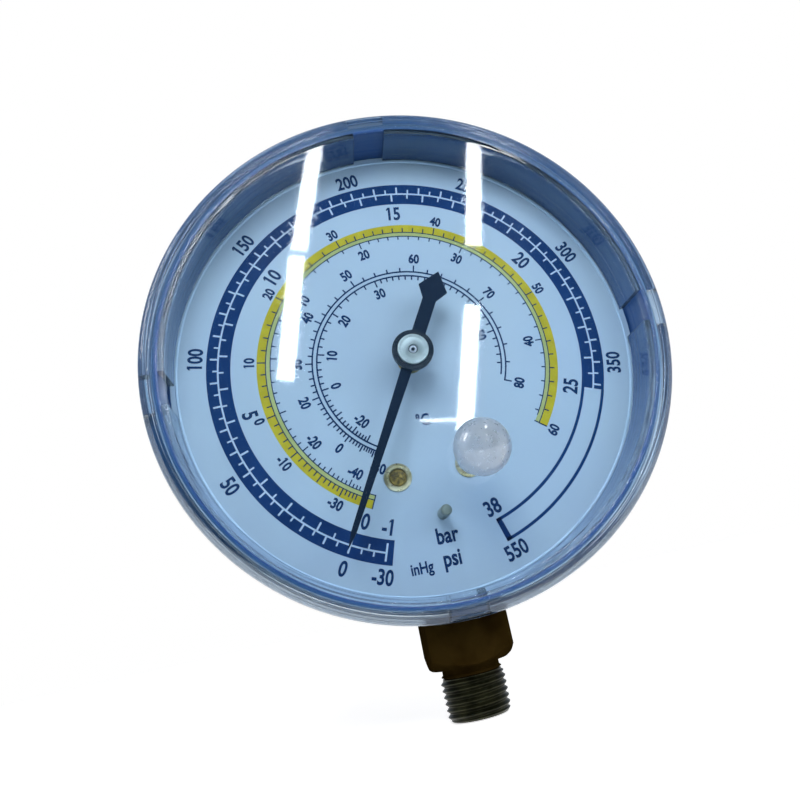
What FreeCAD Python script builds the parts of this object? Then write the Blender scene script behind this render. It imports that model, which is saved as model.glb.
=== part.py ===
import FreeCAD, Part
import Sketcher
import math
import os
import re

# A dial gauge with a stem at the bottom. It stands with the stem down along -Z and its face
# towards -Y. The origin is on the stem's axis, where the thread begins under the wrench block.
# "Level" below is the height in front of the dial's face, so what is behind it has a minus.
# Angles round the dial run clockwise from six o'clock, as the gauge's own scale does.

SIZES = {
    # Where the dial stands over the stem
    "dial_height": 50.0,
    "dial_offset": 5.3,
    # Case: a pressed cup with a wider rim that the lens snaps over
    "case_radius": 37.8,
    "case_wall": 0.7,
    "case_depth": 16.5,
    "case_corner": 3.0,
    "rim_step": 2.1,
    "rim_front": 8.3,
    "lug_height": 0.65,
    "lug_width": 5.2,
    "lug_level": 3.2,
    "lug_length": 2.0,
    "flange_inset": 0.4,
    "flange_clear": 0.2,
    "opening_clear": 0.1,
    # Lens: a clear cap with an outer skirt, an inner rib and four snap windows
    "skirt_wall": 1.75,
    "lens_gap": 0.4,
    "lens_wall": 1.8,
    "lens_round": 1.5,
    "skirt_level": 2.2,
    "skirt_clear": 0.15,
    "rib_wall": 1.0,
    "rib_clear": 0.1,
    "dial_clear": 0.15,
    "window_clear": 0.35,
    "rib_gap_width": 5.4,
    "thumb_notch_width": 8.2,
    "thumb_notch_depth": 0.9,
    # Plug over the adjusting screw
    "plug_hole_radius": 3.2,
    "plug_clear": 0.05,
    "plug_ball_radius": 4.3,
    "plug_collar_radius": 3.6,
    "plug_collar_height": 1.4,
    "plug_skirt": 3.0,
    "plug_wall": 0.8,
    "plug_bore_depth": 2.4,
    # Dial plate and what stands on it
    "dial_thickness": 0.6,
    "dial_edge_clear": 0.3,
    "dial_bore": 2.2,
    "screw_circle": 19.6,
    "screw_angle": 17.4,
    "eyelet_flange": 2.25,
    "eyelet_height": 0.35,
    "eyelet_radius": 1.75,
    "eyelet_bore": 1.4,
    "face_screw_head": 1.3,
    "face_screw_height": 0.7,
    "face_screw_shank": 0.8,
    "face_screw_length": 2.2,
    "running_clear": 0.05,
    "stop_circle": 25.7,
    "stop_radius": 0.9,
    "stop_round": 0.55,
    "stop_overlap": 0.3,
    "stop_shank": 0.5,
    # Pointer
    "pointer_rest": 28.7,
    "pointer_level": 5.0,
    "pointer_thickness": 0.4,
    "pointer_length": 32.5,
    "pointer_taper": 2.6,
    "pointer_root": 1.8,
    "pointer_end": 0.85,
    "pointer_tail": 14.7,
    "tail_width": 2.3,
    "tail_head_width": 4.9,
    "tail_head_length": 5.2,
    "tail_point_length": 3.2,
    "pointer_eye": 2.9,
    "hub_radius": 3.35,
    "hub_height": 0.7,
    "bush_radius": 1.25,
    "bush_depth": 0.9,
    "cap_radius": 2.53,
    "cap_height": 0.45,
    "cap_round": 0.2,
    # Movement plates
    "front_plate_level": 2.2,
    "plate_thickness": 1.0,
    "plate_gap": 6.0,
    "plate_left": 11.6,
    "plate_right": 16.9,
    "plate_top": 6.4,
    "plate_bottom": 24.0,
    "plate_slant": 9.0,
    "plate_corner": 1.8,
    "pillar_inset": 2.9,
    "pillar_drop": 2.5,
    "pillar_radius": 1.6,
    "pillar_screw_radius": 0.8,
    "pillar_screw_head": 1.4,
    "pillar_screw_height": 0.8,
    "pillar_screw_length": 2.6,
    "post_radius": 1.9,
    # Gears
    "gear_module": 0.25,
    "pinion_teeth": 14,
    "sector_full_teeth": 112,
    "sector_cut_teeth": 16,
    "sector_lead_teeth": 2,
    "gear_backlash": 0.04,
    "sector_direction": -53.0,
    "sector_thickness": 1.0,
    "sector_drop": 4.4,
    "sector_hub": 2.3,
    "sector_rim": 1.6,
    "sector_arm": 1.5,
    "sector_arbor_radius": 0.9,
    "pivot_radius": 0.6,
    "pinion_face": 2.0,
    "pinion_arbor_radius": 0.9,
    "pointer_arbor_radius": 0.6,
    "arbor_recess": 0.25,
    # Link between the sector's tail and the end of the tube
    "tail_radius": 6.0,
    "tail_rest": -43.2,
    "travel_direction": 65.8,
    "link_length": 12.0,
    "link_thickness": 0.8,
    "link_width": 1.5,
    "link_eye": 1.4,
    "link_gap": 0.15,
    "link_pin_radius": 0.5,
    "link_pin_head": 0.85,
    "link_slack": 0.32,
    "link_offset": 0.17,
    "tip_travel": 4.05,
    # Bourdon tube
    "tube_circle": 29.0,
    "tube_width": 6.4,
    "tube_thickness": 2.0,
    "tube_wall": 0.3,
    "tube_level": 7.6,
    "tube_sweep": 283.0,
    "tip_length": 7.4,
    "tip_overlap": 5.2,
    "tip_cheek": 0.7,
    "lug_radius": 1.4,
    # Hairspring
    "spring_thickness": 0.16,
    "spring_width": 0.6,
    "spring_pitch": 1.0,
    "spring_turns": 4,
    "spring_drop": 1.2,
    "collet_radius": 1.7,
    "stud_radius": 0.7,
    # Spring that takes over near the end of the scale
    "retard_foot_x": 9.5,
    "retard_foot_z": 3.0,
    "retard_thickness": 0.35,
    "retard_width": 3.4,
    "retard_reach": 2.0,
    "retard_gap": 0.25,
    "retard_foot": 3.2,
    # Stem and socket
    "block_width": 12.7,
    "block_top_clear": 0.3,
    "block_cone_radius": 6.0,
    "block_cone_slope": 0.63,
    "neck_radius": 4.5,
    "neck_length": 0.9,
    "thread_radius": 5.1,
    "stem_length": 6.2,
    "thread_chamfer": 0.7,
    "bore_radius": 2.0,
    "channel_radius": 1.2,
    "bore_depth": 11.0,
    "restrictor_length": 4.0,
    "restrictor_bore": 0.4,
    "restrictor_place": 3.0,
    "socket_front": 1.2,
    "socket_top": 24.0,
    "boss_bottom": 34.0,
    "tongue_top": 10.5,
    "tongue_thickness": 3.6,
    "movement_screw_x": 3.8,
    "movement_screw_inset": 3.0,
    "movement_screw_radius": 0.8,
    "movement_screw_head": 1.4,
    "movement_screw_height": 0.7,
    "movement_screw_length": 3.4,
    "case_screw_x": 3.9,
    "case_screw_inset": 4.5,
    "case_screw_radius": 1.2,
    "case_screw_head": 2.4,
    "case_screw_height": 1.3,
    "case_screw_length": 4.4,
}

# Sizes and places that follow from the ones above
DERIVED = {
    "rim_radius": "case_radius + rim_step",
    "rim_bore": "rim_radius - case_wall",
    "lens_radius": "rim_radius + skirt_clear + skirt_wall",
    "lens_front": "rim_front + lens_gap + lens_wall",
    "flange_radius": "lens_radius - flange_inset",
    "flange_level": "skirt_level - flange_clear",
    "plug_ball_level": "lens_front + plug_collar_height + sqrt(plug_ball_radius ^ 2 - plug_collar_radius ^ 2)",
    "stop_height": "pointer_level + stop_overlap",
    "cap_base": "pointer_level + pointer_thickness + hub_height",
    "pointer_arbor_tip": "cap_base + cap_height - arbor_recess",
    "front_plate_back": "front_plate_level + plate_thickness",
    "rear_plate_front": "front_plate_back + plate_gap",
    "rear_plate_back": "rear_plate_front + plate_thickness",
    "sector_level": "front_plate_back + sector_drop",
    "spring_level": "front_plate_back + spring_drop",
    "case_floor": "case_depth - case_wall",
    "movement_screw_drop": "socket_top - movement_screw_inset",
    "case_screw_drop": "socket_top + case_screw_inset",
    "gear_distance": "gear_module * (pinion_teeth + sector_full_teeth) / 2",
}

doc = FreeCAD.newDocument("PressureGauge")
sheet = doc.addObject("Spreadsheet::Sheet", "Sizes")
for row, (size_name, size_value) in enumerate(SIZES.items(), start=1):
    sheet.set("A%d" % row, size_name)
    sheet.set("B%d" % row, str(size_value))
    sheet.setAlias("B%d" % row, size_name)
doc.recompute()

nodes = []


def bound(text):
    """Point the size names in an expression at their cells, and spell out the derived ones."""
    def cell(word):
        name = word.group()
        if name in DERIVED:
            return "(" + bound(DERIVED[name]) + ")"
        return "Sizes." + name if name in SIZES else name
    return re.sub(r"(?<![.A-Za-z_])[a-z_]+", cell, str(text))


def value(text):
    """Work out an expression of size names."""
    return float(sheet.evalExpression(bound(text)))


def node(thing, label):
    """Keep an object as one of the gauge's pieces, under its own name."""
    thing.Label = label
    nodes.append(thing)
    return thing


def stand(thing, x="0", level="0", up="0"):
    """Place an object by its distance from the middle of the dial's face."""
    thing.setExpression(".Placement.Base.x", bound(x))
    thing.setExpression(".Placement.Base.y", bound("-dial_offset - (%s)" % level))
    thing.setExpression(".Placement.Base.z", bound("dial_height + (%s)" % up))
    return thing


# Solid primitives


def rod(name, radius, length, x="0", level="0", up="0"):
    """A round bar along the dial's axis, from its level towards the front."""
    bar = doc.addObject("Part::Cylinder", name)
    bar.setExpression("Radius", bound(radius))
    bar.setExpression("Height", bound(length))
    bar.Placement.Rotation = FreeCAD.Rotation(FreeCAD.Vector(1, 0, 0), 90)
    return stand(bar, x, level, up)


def strap(name, start, end, width, thickness, level):
    """A flat bar with square ends between two points of the dial's plane."""
    (x_start, up_start), (x_end, up_end) = start, end
    across = "((%s) - (%s))" % (x_end, x_start)
    rise = "((%s) - (%s))" % (up_end, up_start)
    angle = "atan2(%s; %s)" % (rise, across)
    bar = doc.addObject("Part::Box", name)
    bar.setExpression("Length", bound("hypot(%s; %s)" % (across, rise)))
    bar.setExpression("Width", bound(thickness))
    bar.setExpression("Height", bound(width))
    bar.Placement.Rotation = FreeCAD.Rotation(FreeCAD.Vector(0, -1, 0), value(angle))
    bar.setExpression(".Placement.Rotation.Angle", bound(angle))
    half = "(%s) / 2" % width
    corner_x = "(%s) + %s * sin(%s)" % (x_start, half, angle)
    corner_up = "(%s) - %s * cos(%s)" % (up_start, half, angle)
    return stand(bar, corner_x, "(%s) + (%s)" % (level, thickness), corner_up)


def block(name, x_low, x_high, level_low, level_high, up_low, up_high):
    """A square block given by its sides, measured from the middle of the dial's face."""
    box = doc.addObject("Part::Box", name)
    box.setExpression("Length", bound("(%s) - (%s)" % (x_high, x_low)))
    box.setExpression("Width", bound("(%s) - (%s)" % (level_high, level_low)))
    box.setExpression("Height", bound("(%s) - (%s)" % (up_high, up_low)))
    return stand(box, x_low, level_high, up_low)


def fuse(name, pieces):
    """Join overlapping solids into one."""
    joined = doc.addObject("Part::MultiFuse", name)
    joined.Shapes = pieces
    return joined


def cut(name, base, tool):
    """Take one solid away from another."""
    rest = doc.addObject("Part::Cut", name)
    rest.Base = base
    rest.Tool = tool
    return rest


def group(name, pieces):
    """Keep several separate solids of the same kind together as one piece of the list."""
    together = doc.addObject("Part::Compound", name)
    together.Links = pieces
    return together


# Bodies made from sketches


def new_body(name):
    """A body whose own origin is the middle of the dial's face."""
    return stand(doc.addObject("PartDesign::Body", name))


def sketch_on(body, role, name, level="0"):
    """An empty sketch on one of the body's own planes, moved forward to a level."""
    plane = [f for f in body.Origin.OriginFeatures if f.Role == role][0]
    sketch = body.newObject("Sketcher::SketchObject", name)
    sketch.AttachmentSupport = (plane, [""])
    sketch.MapMode = "FlatFace"
    sketch.setExpression(".AttachmentOffset.Base.z", bound(level))
    return sketch


def fix(sketch, kind, geometry, point, text):
    """Tie one coordinate of a sketch point to an expression."""
    amount = value(text)
    axis = -2 if kind == "DistanceX" else -1
    if abs(amount) < 1e-9:
        sketch.addConstraint(Sketcher.Constraint("PointOnObject", geometry, point, axis))
    elif amount > 0:
        sketch.addConstraint(Sketcher.Constraint(kind, -1, 1, geometry, point, amount))
        sketch.setExpression("Constraints[%d]" % (sketch.ConstraintCount - 1), bound(text))
    else:
        sketch.addConstraint(Sketcher.Constraint(kind, geometry, point, -1, 1, -amount))
        sketch.setExpression("Constraints[%d]" % (sketch.ConstraintCount - 1), bound("-(%s)" % text))


def outline(sketch, corners):
    """Draw a closed outline of straight sides through corners given as expressions."""
    spots = [FreeCAD.Vector(value(u), value(v), 0) for u, v in corners]
    first = sketch.GeometryCount
    count = len(corners)
    for i in range(count):
        sketch.addGeometry(Part.LineSegment(spots[i], spots[(i + 1) % count]))
    for i in range(count):
        following = first + (i + 1) % count
        sketch.addConstraint(Sketcher.Constraint("Coincident", first + i, 2, following, 1))
    for i, (u, v) in enumerate(corners):
        fix(sketch, "DistanceX", first + i, 1, u)
        fix(sketch, "DistanceY", first + i, 1, v)
    return sketch


def circle(sketch, u, v, radius):
    """Draw a circle whose middle and radius are expressions."""
    middle = FreeCAD.Vector(value(u), value(v), 0)
    ring = sketch.addGeometry(Part.Circle(middle, FreeCAD.Vector(0, 0, 1), value(radius)))
    sketch.addConstraint(Sketcher.Constraint("Radius", ring, value(radius)))
    sketch.setExpression("Constraints[%d]" % (sketch.ConstraintCount - 1), bound(radius))
    fix(sketch, "DistanceX", ring, 3, u)
    fix(sketch, "DistanceY", ring, 3, v)
    return sketch


def feature(body, kind, sketch, **settings):
    """Add a feature made from a sketch; text settings are expressions."""
    made = body.newObject("PartDesign::" + kind, body.Name + kind)
    made.Profile = sketch
    for name, setting in settings.items():
        if isinstance(setting, str) and name != "Type":
            made.setExpression(name, bound(setting))
        else:
            setattr(made, name, setting)
    return made


def turned(body, corners, kind="Revolution", **settings):
    """Turn an outline of radius and rearward depth about the dial's axis."""
    sketch = outline(sketch_on(body, "XY_Plane", body.Name + "Profile"), corners)
    axis = (sketch, ["V_Axis"])
    return feature(body, kind, sketch, ReferenceAxis=axis, **settings)


def repeat(body, features, count):
    """Repeat features evenly round the dial's axis."""
    pattern = body.newObject("PartDesign::PolarPattern", body.Name + "Pattern")
    pattern.Originals = features
    axis = [f for f in body.Origin.OriginFeatures if f.Role == "Y_Axis"][0]
    pattern.Axis = (axis, [""])
    pattern.Angle = 360
    pattern.Occurrences = count
    body.Tip = pattern
    return pattern


def soften(body, size, length):
    """Round the straight edges of the last feature that have a given length."""
    doc.recompute()
    base = body.Tip
    straight = [isinstance(edge.Curve, Part.Line) and abs(edge.Length - value(length)) < 1e-6
                for edge in base.Shape.Edges]
    edges = ["Edge%d" % (i + 1) for i, wanted in enumerate(straight) if wanted]
    assert edges, "no edge to round on " + body.Name
    soft = body.newObject("PartDesign::Fillet", body.Name + "Fillet")
    soft.Base = (base, edges)
    soft.setExpression("Radius", bound(size))
    return soft


def eased(radius, depth, size, inward, backward):
    """A corner of a turned outline cut back in three flats, from the side to the end."""
    flats = []
    for angle in (0, 30, 60, 90):
        flats.append(("%s %s (%s) * (1 - cos(%d))" % (radius, inward, size, angle),
                      "%s %s (%s) * (1 - sin(%d))" % (depth, backward, size, angle)))
    return flats


# Places that several pieces share, as pairs of expressions: right of and above the dial's middle
SECTOR = ("gear_distance * cos(sector_direction)", "gear_distance * sin(sector_direction)")
TAIL = (SECTOR[0] + " + tail_radius * cos(tail_rest)", SECTOR[1] + " + tail_radius * sin(tail_rest)")
LINK_END = (TAIL[0] + " + link_length * cos(travel_direction)",
            TAIL[1] + " + link_length * sin(travel_direction)")
TIP_PIN = (LINK_END[0] + " + link_offset * sin(travel_direction)",
           LINK_END[1] + " - link_offset * cos(travel_direction)")
DIAL_SCREW = ("-screw_circle * sin(screw_angle)", "-screw_circle * cos(screw_angle)")
SETTING_SCREW = ("screw_circle * sin(screw_angle)", DIAL_SCREW[1])
PILLARS = [("-(plate_left - pillar_inset)", "-(plate_bottom - pillar_inset)"),
           ("-(plate_left - pillar_inset)", "plate_top - pillar_inset"),
           ("plate_right - pillar_inset", "-pillar_drop")]
MOVEMENT_SCREWS = [("-movement_screw_x", "-movement_screw_drop"),
                   ("movement_screw_x", "-movement_screw_drop")]
CASE_SCREWS = [("-case_screw_x", "-case_screw_drop"), ("case_screw_x", "-case_screw_drop")]


def make_case():
    """The cup: flat back, straight wall, a step for the dial, a flange behind the lens and four snap lugs."""
    case = new_body("case")
    back = eased("case_radius", "case_depth", "case_corner", "-", "-")
    floor = eased("case_radius - case_wall", "case_floor", "case_corner - case_wall", "-", "-")
    turned(case, [("0", "case_depth")] + back[::-1] + [
        ("case_radius", "dial_thickness + case_wall"),
        ("rim_radius", "dial_thickness + case_wall"),
        ("rim_radius", "-(flange_level - case_wall)"),
        ("flange_radius", "-(flange_level - case_wall)"),
        ("flange_radius", "-flange_level"),
        ("rim_radius", "-flange_level"),
        ("rim_radius", "-rim_front"),
        ("rim_bore", "-rim_front"),
        ("rim_bore", "dial_thickness"),
        ("case_radius - case_wall", "dial_thickness"),
    ] + floor + [("0", "case_floor")])
    lug = turned(case, [
        ("rim_radius - case_wall / 2", "-lug_level"),
        ("rim_radius + lug_height", "-lug_level"),
        ("rim_radius", "-(lug_level + lug_length)"),
        ("rim_radius - case_wall / 2", "-(lug_level + lug_length)"),
    ], Angle="2 * asin(lug_width / 2 / rim_radius)", Midplane=True)
    repeat(case, [lug], 4)

    opening = sketch_on(case, "XY_Plane", "caseOpening")
    reach = "(block_width / 2 + opening_clear)"
    outline(opening, [("-" + reach, "dial_offset - " + reach), (reach, "dial_offset - " + reach),
                      (reach, "dial_offset + " + reach), ("-" + reach, "dial_offset + " + reach)])
    feature(case, "Pocket", opening, Length="lens_radius + 1")

    holes = sketch_on(case, "XZ_Plane", "caseHoles")
    for x, up in CASE_SCREWS:
        circle(holes, x, up, "case_screw_radius")
    feature(case, "Pocket", holes, Length="case_depth + 1")
    node(case, "case")


def make_lens():
    """The clear front: flat window, rounded rim, skirt over the case and rib inside it."""
    lens = new_body("lens")
    shoulder = eased("lens_radius", "-lens_front", "lens_round", "-", "+")
    turned(lens, [("0", "-lens_front")] + shoulder[::-1] + [
        ("lens_radius", "-skirt_level"),
        ("rim_radius + skirt_clear", "-skirt_level"),
        ("rim_radius + skirt_clear", "-(lens_front - lens_wall)"),
        ("rim_bore - rib_clear", "-(lens_front - lens_wall)"),
        ("rim_bore - rib_clear", "-dial_clear"),
        ("rim_bore - rib_clear - rib_wall", "-dial_clear"),
        ("rim_bore - rib_clear - rib_wall", "-(lens_front - lens_wall)"),
        ("0", "-(lens_front - lens_wall)"),
    ])
    window = turned(lens, [
        ("rim_radius", "-(lug_level - window_clear)"),
        ("lens_radius + 1", "-(lug_level - window_clear)"),
        ("lens_radius + 1", "-(lug_level + lug_length + window_clear)"),
        ("rim_radius", "-(lug_level + lug_length + window_clear)"),
    ], kind="Groove", Angle="2 * asin((lug_width / 2 + window_clear) / rim_radius)", Midplane=True)
    gap = turned(lens, [
        ("rim_bore - rib_wall - 1", "0"),
        ("rim_radius", "0"),
        ("rim_radius", "-(lens_front - lens_wall)"),
        ("rim_bore - rib_wall - 1", "-(lens_front - lens_wall)"),
    ], kind="Groove", Angle="2 * asin(rib_gap_width / 2 / rim_radius)", Midplane=True)
    repeat(lens, [window, gap], 4)

    notch = sketch_on(lens, "XZ_Plane", "lensNotch", "lens_front")
    sagitta = "(thumb_notch_width ^ 2 / 8 / thumb_notch_depth)"
    circle(notch, "0", "-(lens_radius - thumb_notch_depth + %s)" % sagitta, sagitta)
    feature(lens, "Pocket", notch, Length="lens_wall - 0.4")

    hole = sketch_on(lens, "XZ_Plane", "lensHole")
    circle(hole, SETTING_SCREW[0], SETTING_SCREW[1], "plug_hole_radius")
    feature(lens, "Pocket", hole, Length="lens_front + 1", Reversed=True)
    node(lens, "lens")


def make_plug():
    """The clear push-in cap over the hole: a ball on a short collar outside, a hollow skirt inside."""
    x, up = SETTING_SCREW
    ball = stand(doc.addObject("Part::Sphere", "plugBall"), x, "plug_ball_level", up)
    ball.setExpression("Radius", bound("plug_ball_radius"))
    collar = rod("plugCollar", "plug_collar_radius", "plug_ball_level - lens_front", x, "lens_front", up)
    back = "lens_front - plug_skirt"
    skirt = rod("plugSkirt", "plug_hole_radius - plug_clear", "plug_skirt + plug_collar_height", x, back, up)
    bore = rod("plugBore", "plug_hole_radius - plug_clear - plug_wall", "plug_skirt + plug_bore_depth + 1",
               x, back + " - 1", up)
    node(cut("plugHollow", fuse("plugSolid", [ball, collar, skirt]), bore), "lens_plug")


def make_dial():
    """The dial plate, its two brass eyelets and the pin that the pointer cannot pass."""
    dial = new_body("dial")
    face = sketch_on(dial, "XZ_Plane", "dialFace", "-dial_thickness")
    circle(face, "0", "0", "rim_bore - dial_edge_clear")
    circle(face, "0", "0", "dial_bore")
    circle(face, "0", "-stop_circle", "stop_shank")
    for x, up in (DIAL_SCREW, SETTING_SCREW):
        circle(face, x, up, "eyelet_radius")
    feature(dial, "Pad", face, Length="dial_thickness")
    node(dial, "dial")

    eyelets = []
    for side, (x, up) in (("Left", DIAL_SCREW), ("Right", SETTING_SCREW)):
        eyelet = stand(doc.addObject("PartDesign::Body", "eyelet" + side), x, "0", up)
        turned(eyelet, [
            ("eyelet_bore", "dial_thickness"),
            ("eyelet_radius", "dial_thickness"),
            ("eyelet_radius", "0"),
            ("eyelet_flange", "0"),
            ("eyelet_flange", "-eyelet_height"),
            ("eyelet_bore", "-eyelet_height"),
        ])
        eyelets.append(eyelet)
    node(group("dialEyelets", eyelets), "dial_eyelets")

    pin = stand(doc.addObject("PartDesign::Body", "stopPin"), "0", "0", "-stop_circle")
    turned(pin, [
        ("0", "dial_thickness"),
        ("stop_shank", "dial_thickness"),
        ("stop_shank", "0"),
        ("stop_radius", "0"),
    ] + eased("stop_radius", "-stop_height", "stop_round", "-", "+") + [("0", "-stop_height")])
    node(pin, "stop_pin")


def make_face_screw(name, place, clear):
    """A cheese-head screw sunk in an eyelet, with its shank in the post behind."""
    head = rod(name + "Head", "face_screw_head", "face_screw_height", place[0], "-dial_thickness + " + clear,
               place[1])
    shank = rod(name + "Shank", "face_screw_shank", "face_screw_length + face_screw_height", place[0],
                "-(dial_thickness + face_screw_length) + " + clear, place[1])
    return fuse(name, [head, shank])


def make_face_screws():
    """The screw that fastens the dial, and its twin under the plug that sets the zero."""
    node(make_face_screw("dialScrew", DIAL_SCREW, "0"), "dial_screw")
    node(make_face_screw("settingScrew", SETTING_SCREW, "running_clear"), "calibration_screw")


def make_posts():
    """Two round posts that carry the dial on the front plate."""
    posts = []
    length = "front_plate_level - dial_thickness"
    for side, place, bore in (("Left", DIAL_SCREW, "face_screw_shank"),
                              ("Right", SETTING_SCREW, "face_screw_shank + running_clear")):
        solid = rod("post%sBar" % side, "post_radius", length, place[0], "-front_plate_level", place[1])
        hole = rod("post%sBore" % side, bore, length, place[0], "-front_plate_level", place[1])
        posts.append(cut("post" + side, solid, hole))
    node(group("dialPosts", posts), "dial_posts")


def make_pointer():
    """The pointer blade with its arrow tail, the boss that carries it and the bright cap."""
    pointer = new_body("pointer")
    pointer.Placement.Rotation = FreeCAD.Rotation(FreeCAD.Vector(0, 1, 0), SIZES["pointer_rest"])
    pointer.setExpression(".Placement.Rotation.Angle", bound("pointer_rest"))
    half = [
        ("tail_head_width / 2", "pointer_tail - tail_point_length"),
        ("tail_width / 2", "pointer_tail - tail_head_length"),
        ("tail_width / 2", "0"),
        ("pointer_root / 2", "-hub_radius"),
        ("pointer_end / 2", "-(pointer_length - pointer_taper)"),
    ]
    mirrored = [("-(%s)" % x, up) for x, up in reversed(half)]
    corners = [("0", "pointer_tail")] + half + [("0", "-pointer_length")] + mirrored
    blade = outline(sketch_on(pointer, "XZ_Plane", "pointerBlade", "pointer_level"), corners)
    feature(pointer, "Pad", blade, Length="pointer_thickness")
    eye = circle(sketch_on(pointer, "XZ_Plane", "pointerEye", "pointer_level"), "0", "0", "pointer_eye")
    feature(pointer, "Pad", eye, Length="pointer_thickness")
    bore = circle(sketch_on(pointer, "XZ_Plane", "pointerBore", "pointer_level"), "0", "0", "bush_radius")
    feature(pointer, "Pocket", bore, Length="pointer_thickness + 1", Reversed=True)
    node(pointer, "pointer")

    hub = new_body("pointerHub")
    turned(hub, [
        ("pointer_arbor_radius", "-(pointer_level - bush_depth)"),
        ("bush_radius", "-(pointer_level - bush_depth)"),
        ("bush_radius", "-(pointer_level + pointer_thickness)"),
        ("hub_radius", "-(pointer_level + pointer_thickness)"),
        ("hub_radius", "-cap_base"),
        ("pointer_arbor_radius", "-cap_base"),
    ])
    node(hub, "pointer_hub")

    cap = new_body("pointerCap")
    turned(cap, [
        ("pointer_arbor_radius", "-cap_base"),
        ("cap_radius", "-cap_base"),
    ] + eased("cap_radius", "-(cap_base + cap_height)", "cap_round", "-", "+") + [
        ("pointer_arbor_radius", "-(cap_base + cap_height)"),
    ])
    node(cap, "pointer_cap")


def plate_outline(sketch):
    """The five-sided outline that both movement plates share."""
    return outline(sketch, [
        ("-plate_left", "-plate_bottom"),
        ("plate_right - plate_slant", "-plate_bottom"),
        ("plate_right", "-plate_bottom + plate_slant"),
        ("plate_right", "-pillar_drop + pillar_inset"),
        ("plate_right - plate_slant", "plate_top"),
        ("-plate_left", "plate_top"),
    ])


def make_plates():
    """The two plates of the movement, with their bearings and screw holes."""
    for name, label, level in (("frontPlate", "front_plate", "-front_plate_back"),
                               ("rearPlate", "rear_plate", "-rear_plate_back")):
        plate = new_body(name)
        sheet_metal = plate_outline(sketch_on(plate, "XZ_Plane", name + "Outline", level))
        circle(sheet_metal, SECTOR[0], SECTOR[1], "pivot_radius + running_clear")
        if label == "front_plate":
            circle(sheet_metal, "0", "0", "pinion_arbor_radius + running_clear")
            circle(sheet_metal, SETTING_SCREW[0], SETTING_SCREW[1], "face_screw_shank + running_clear")
            circle(sheet_metal, DIAL_SCREW[0], DIAL_SCREW[1], "face_screw_shank")
            for x, up in PILLARS:
                circle(sheet_metal, x, up, "pillar_screw_radius")
        else:
            circle(sheet_metal, "0", "0", "pivot_radius + running_clear")
            for x, up in MOVEMENT_SCREWS:
                circle(sheet_metal, x, up, "movement_screw_radius")
        feature(plate, "Pad", sheet_metal, Length="plate_thickness")
        soften(plate, "plate_corner", "plate_thickness")
        node(plate, label)


def make_pillars():
    """Three drilled pillars that hold the plates apart, and the screws into them."""
    pillars = []
    screws = []
    for number, (x, up) in enumerate(PILLARS):
        solid = rod("pillarBar%d" % number, "pillar_radius", "plate_gap", x, "-rear_plate_front", up)
        drill = rod("pillarBore%d" % number, "pillar_screw_radius", "pillar_screw_length - plate_thickness",
                    x, "-(front_plate_level + pillar_screw_length)", up)
        pillars.append(cut("pillar%d" % number, solid, drill))
        head = rod("pillarScrewHead%d" % number, "pillar_screw_head", "pillar_screw_height", x,
                   "-front_plate_level", up)
        shank = rod("pillarScrewShank%d" % number, "pillar_screw_radius",
                    "pillar_screw_length + pillar_screw_height", x,
                    "-(front_plate_level + pillar_screw_length)", up)
        screws.append(fuse("pillarScrew%d" % number, [head, shank]))
    node(group("pillars", pillars), "plate_pillars")
    node(group("pillarScrews", screws), "plate_screws")


# Gears, cut to an involute


def involute(angle):
    """The involute function of a pressure angle in radians."""
    return math.tan(angle) - angle


def spot(radius, angle):
    """A point in the dial's plane, from a radius and an angle in radians."""
    return FreeCAD.Vector(radius * math.cos(angle), 0, radius * math.sin(angle))


def tooth_edges(teeth, centre_angles, tip, root):
    """The edges along a row of teeth, from before the first tooth to behind the last."""
    pressure = math.radians(20)
    pitch = value("gear_module") * teeth / 2
    base = pitch * math.cos(pressure)
    thick = math.pi / (2 * teeth) - value("gear_backlash") / (2 * pitch)

    def half_angle(radius):
        flank = max(radius, base)
        return thick + involute(pressure) - involute(math.acos(base / flank))

    start = max(root, base)
    middle = (start + tip) / 2
    step = math.pi / teeth
    edges = []
    for centre in centre_angles:
        before, after = centre - step, centre + step
        foot = half_angle(start)
        edges.append(arc(root, before, centre - foot))
        if root < base:
            edges.append(Part.makeLine(spot(root, centre - foot), spot(start, centre - foot)))
        rising = [spot(r, centre - half_angle(r)) for r in (start, middle, tip)]
        edges.append(Part.Arc(*rising).toShape())
        edges.append(arc(tip, centre - half_angle(tip), centre + half_angle(tip)))
        falling = [spot(r, centre + half_angle(r)) for r in (tip, middle, start)]
        edges.append(Part.Arc(*falling).toShape())
        if root < base:
            edges.append(Part.makeLine(spot(start, centre + foot), spot(root, centre + foot)))
        edges.append(arc(root, centre + foot, after))
    return edges


def arc(radius, start, end):
    """An arc about the gear's axis between two angles."""
    return Part.Arc(spot(radius, start), spot(radius, (start + end) / 2), spot(radius, end)).toShape()


def plate_of(wire, thickness):
    """A flat plate that starts at the dial's plane and goes forward."""
    return Part.Face(wire).extrude(FreeCAD.Vector(0, -thickness, 0))


def disc(radius, thickness, middle=FreeCAD.Vector(0, 0, 0), start=0.0):
    """A round plate along the dial's axis, from its start level forward."""
    foot = middle + FreeCAD.Vector(0, -start, 0)
    return Part.makeCylinder(radius, thickness, foot, FreeCAD.Vector(0, -1, 0))


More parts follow.
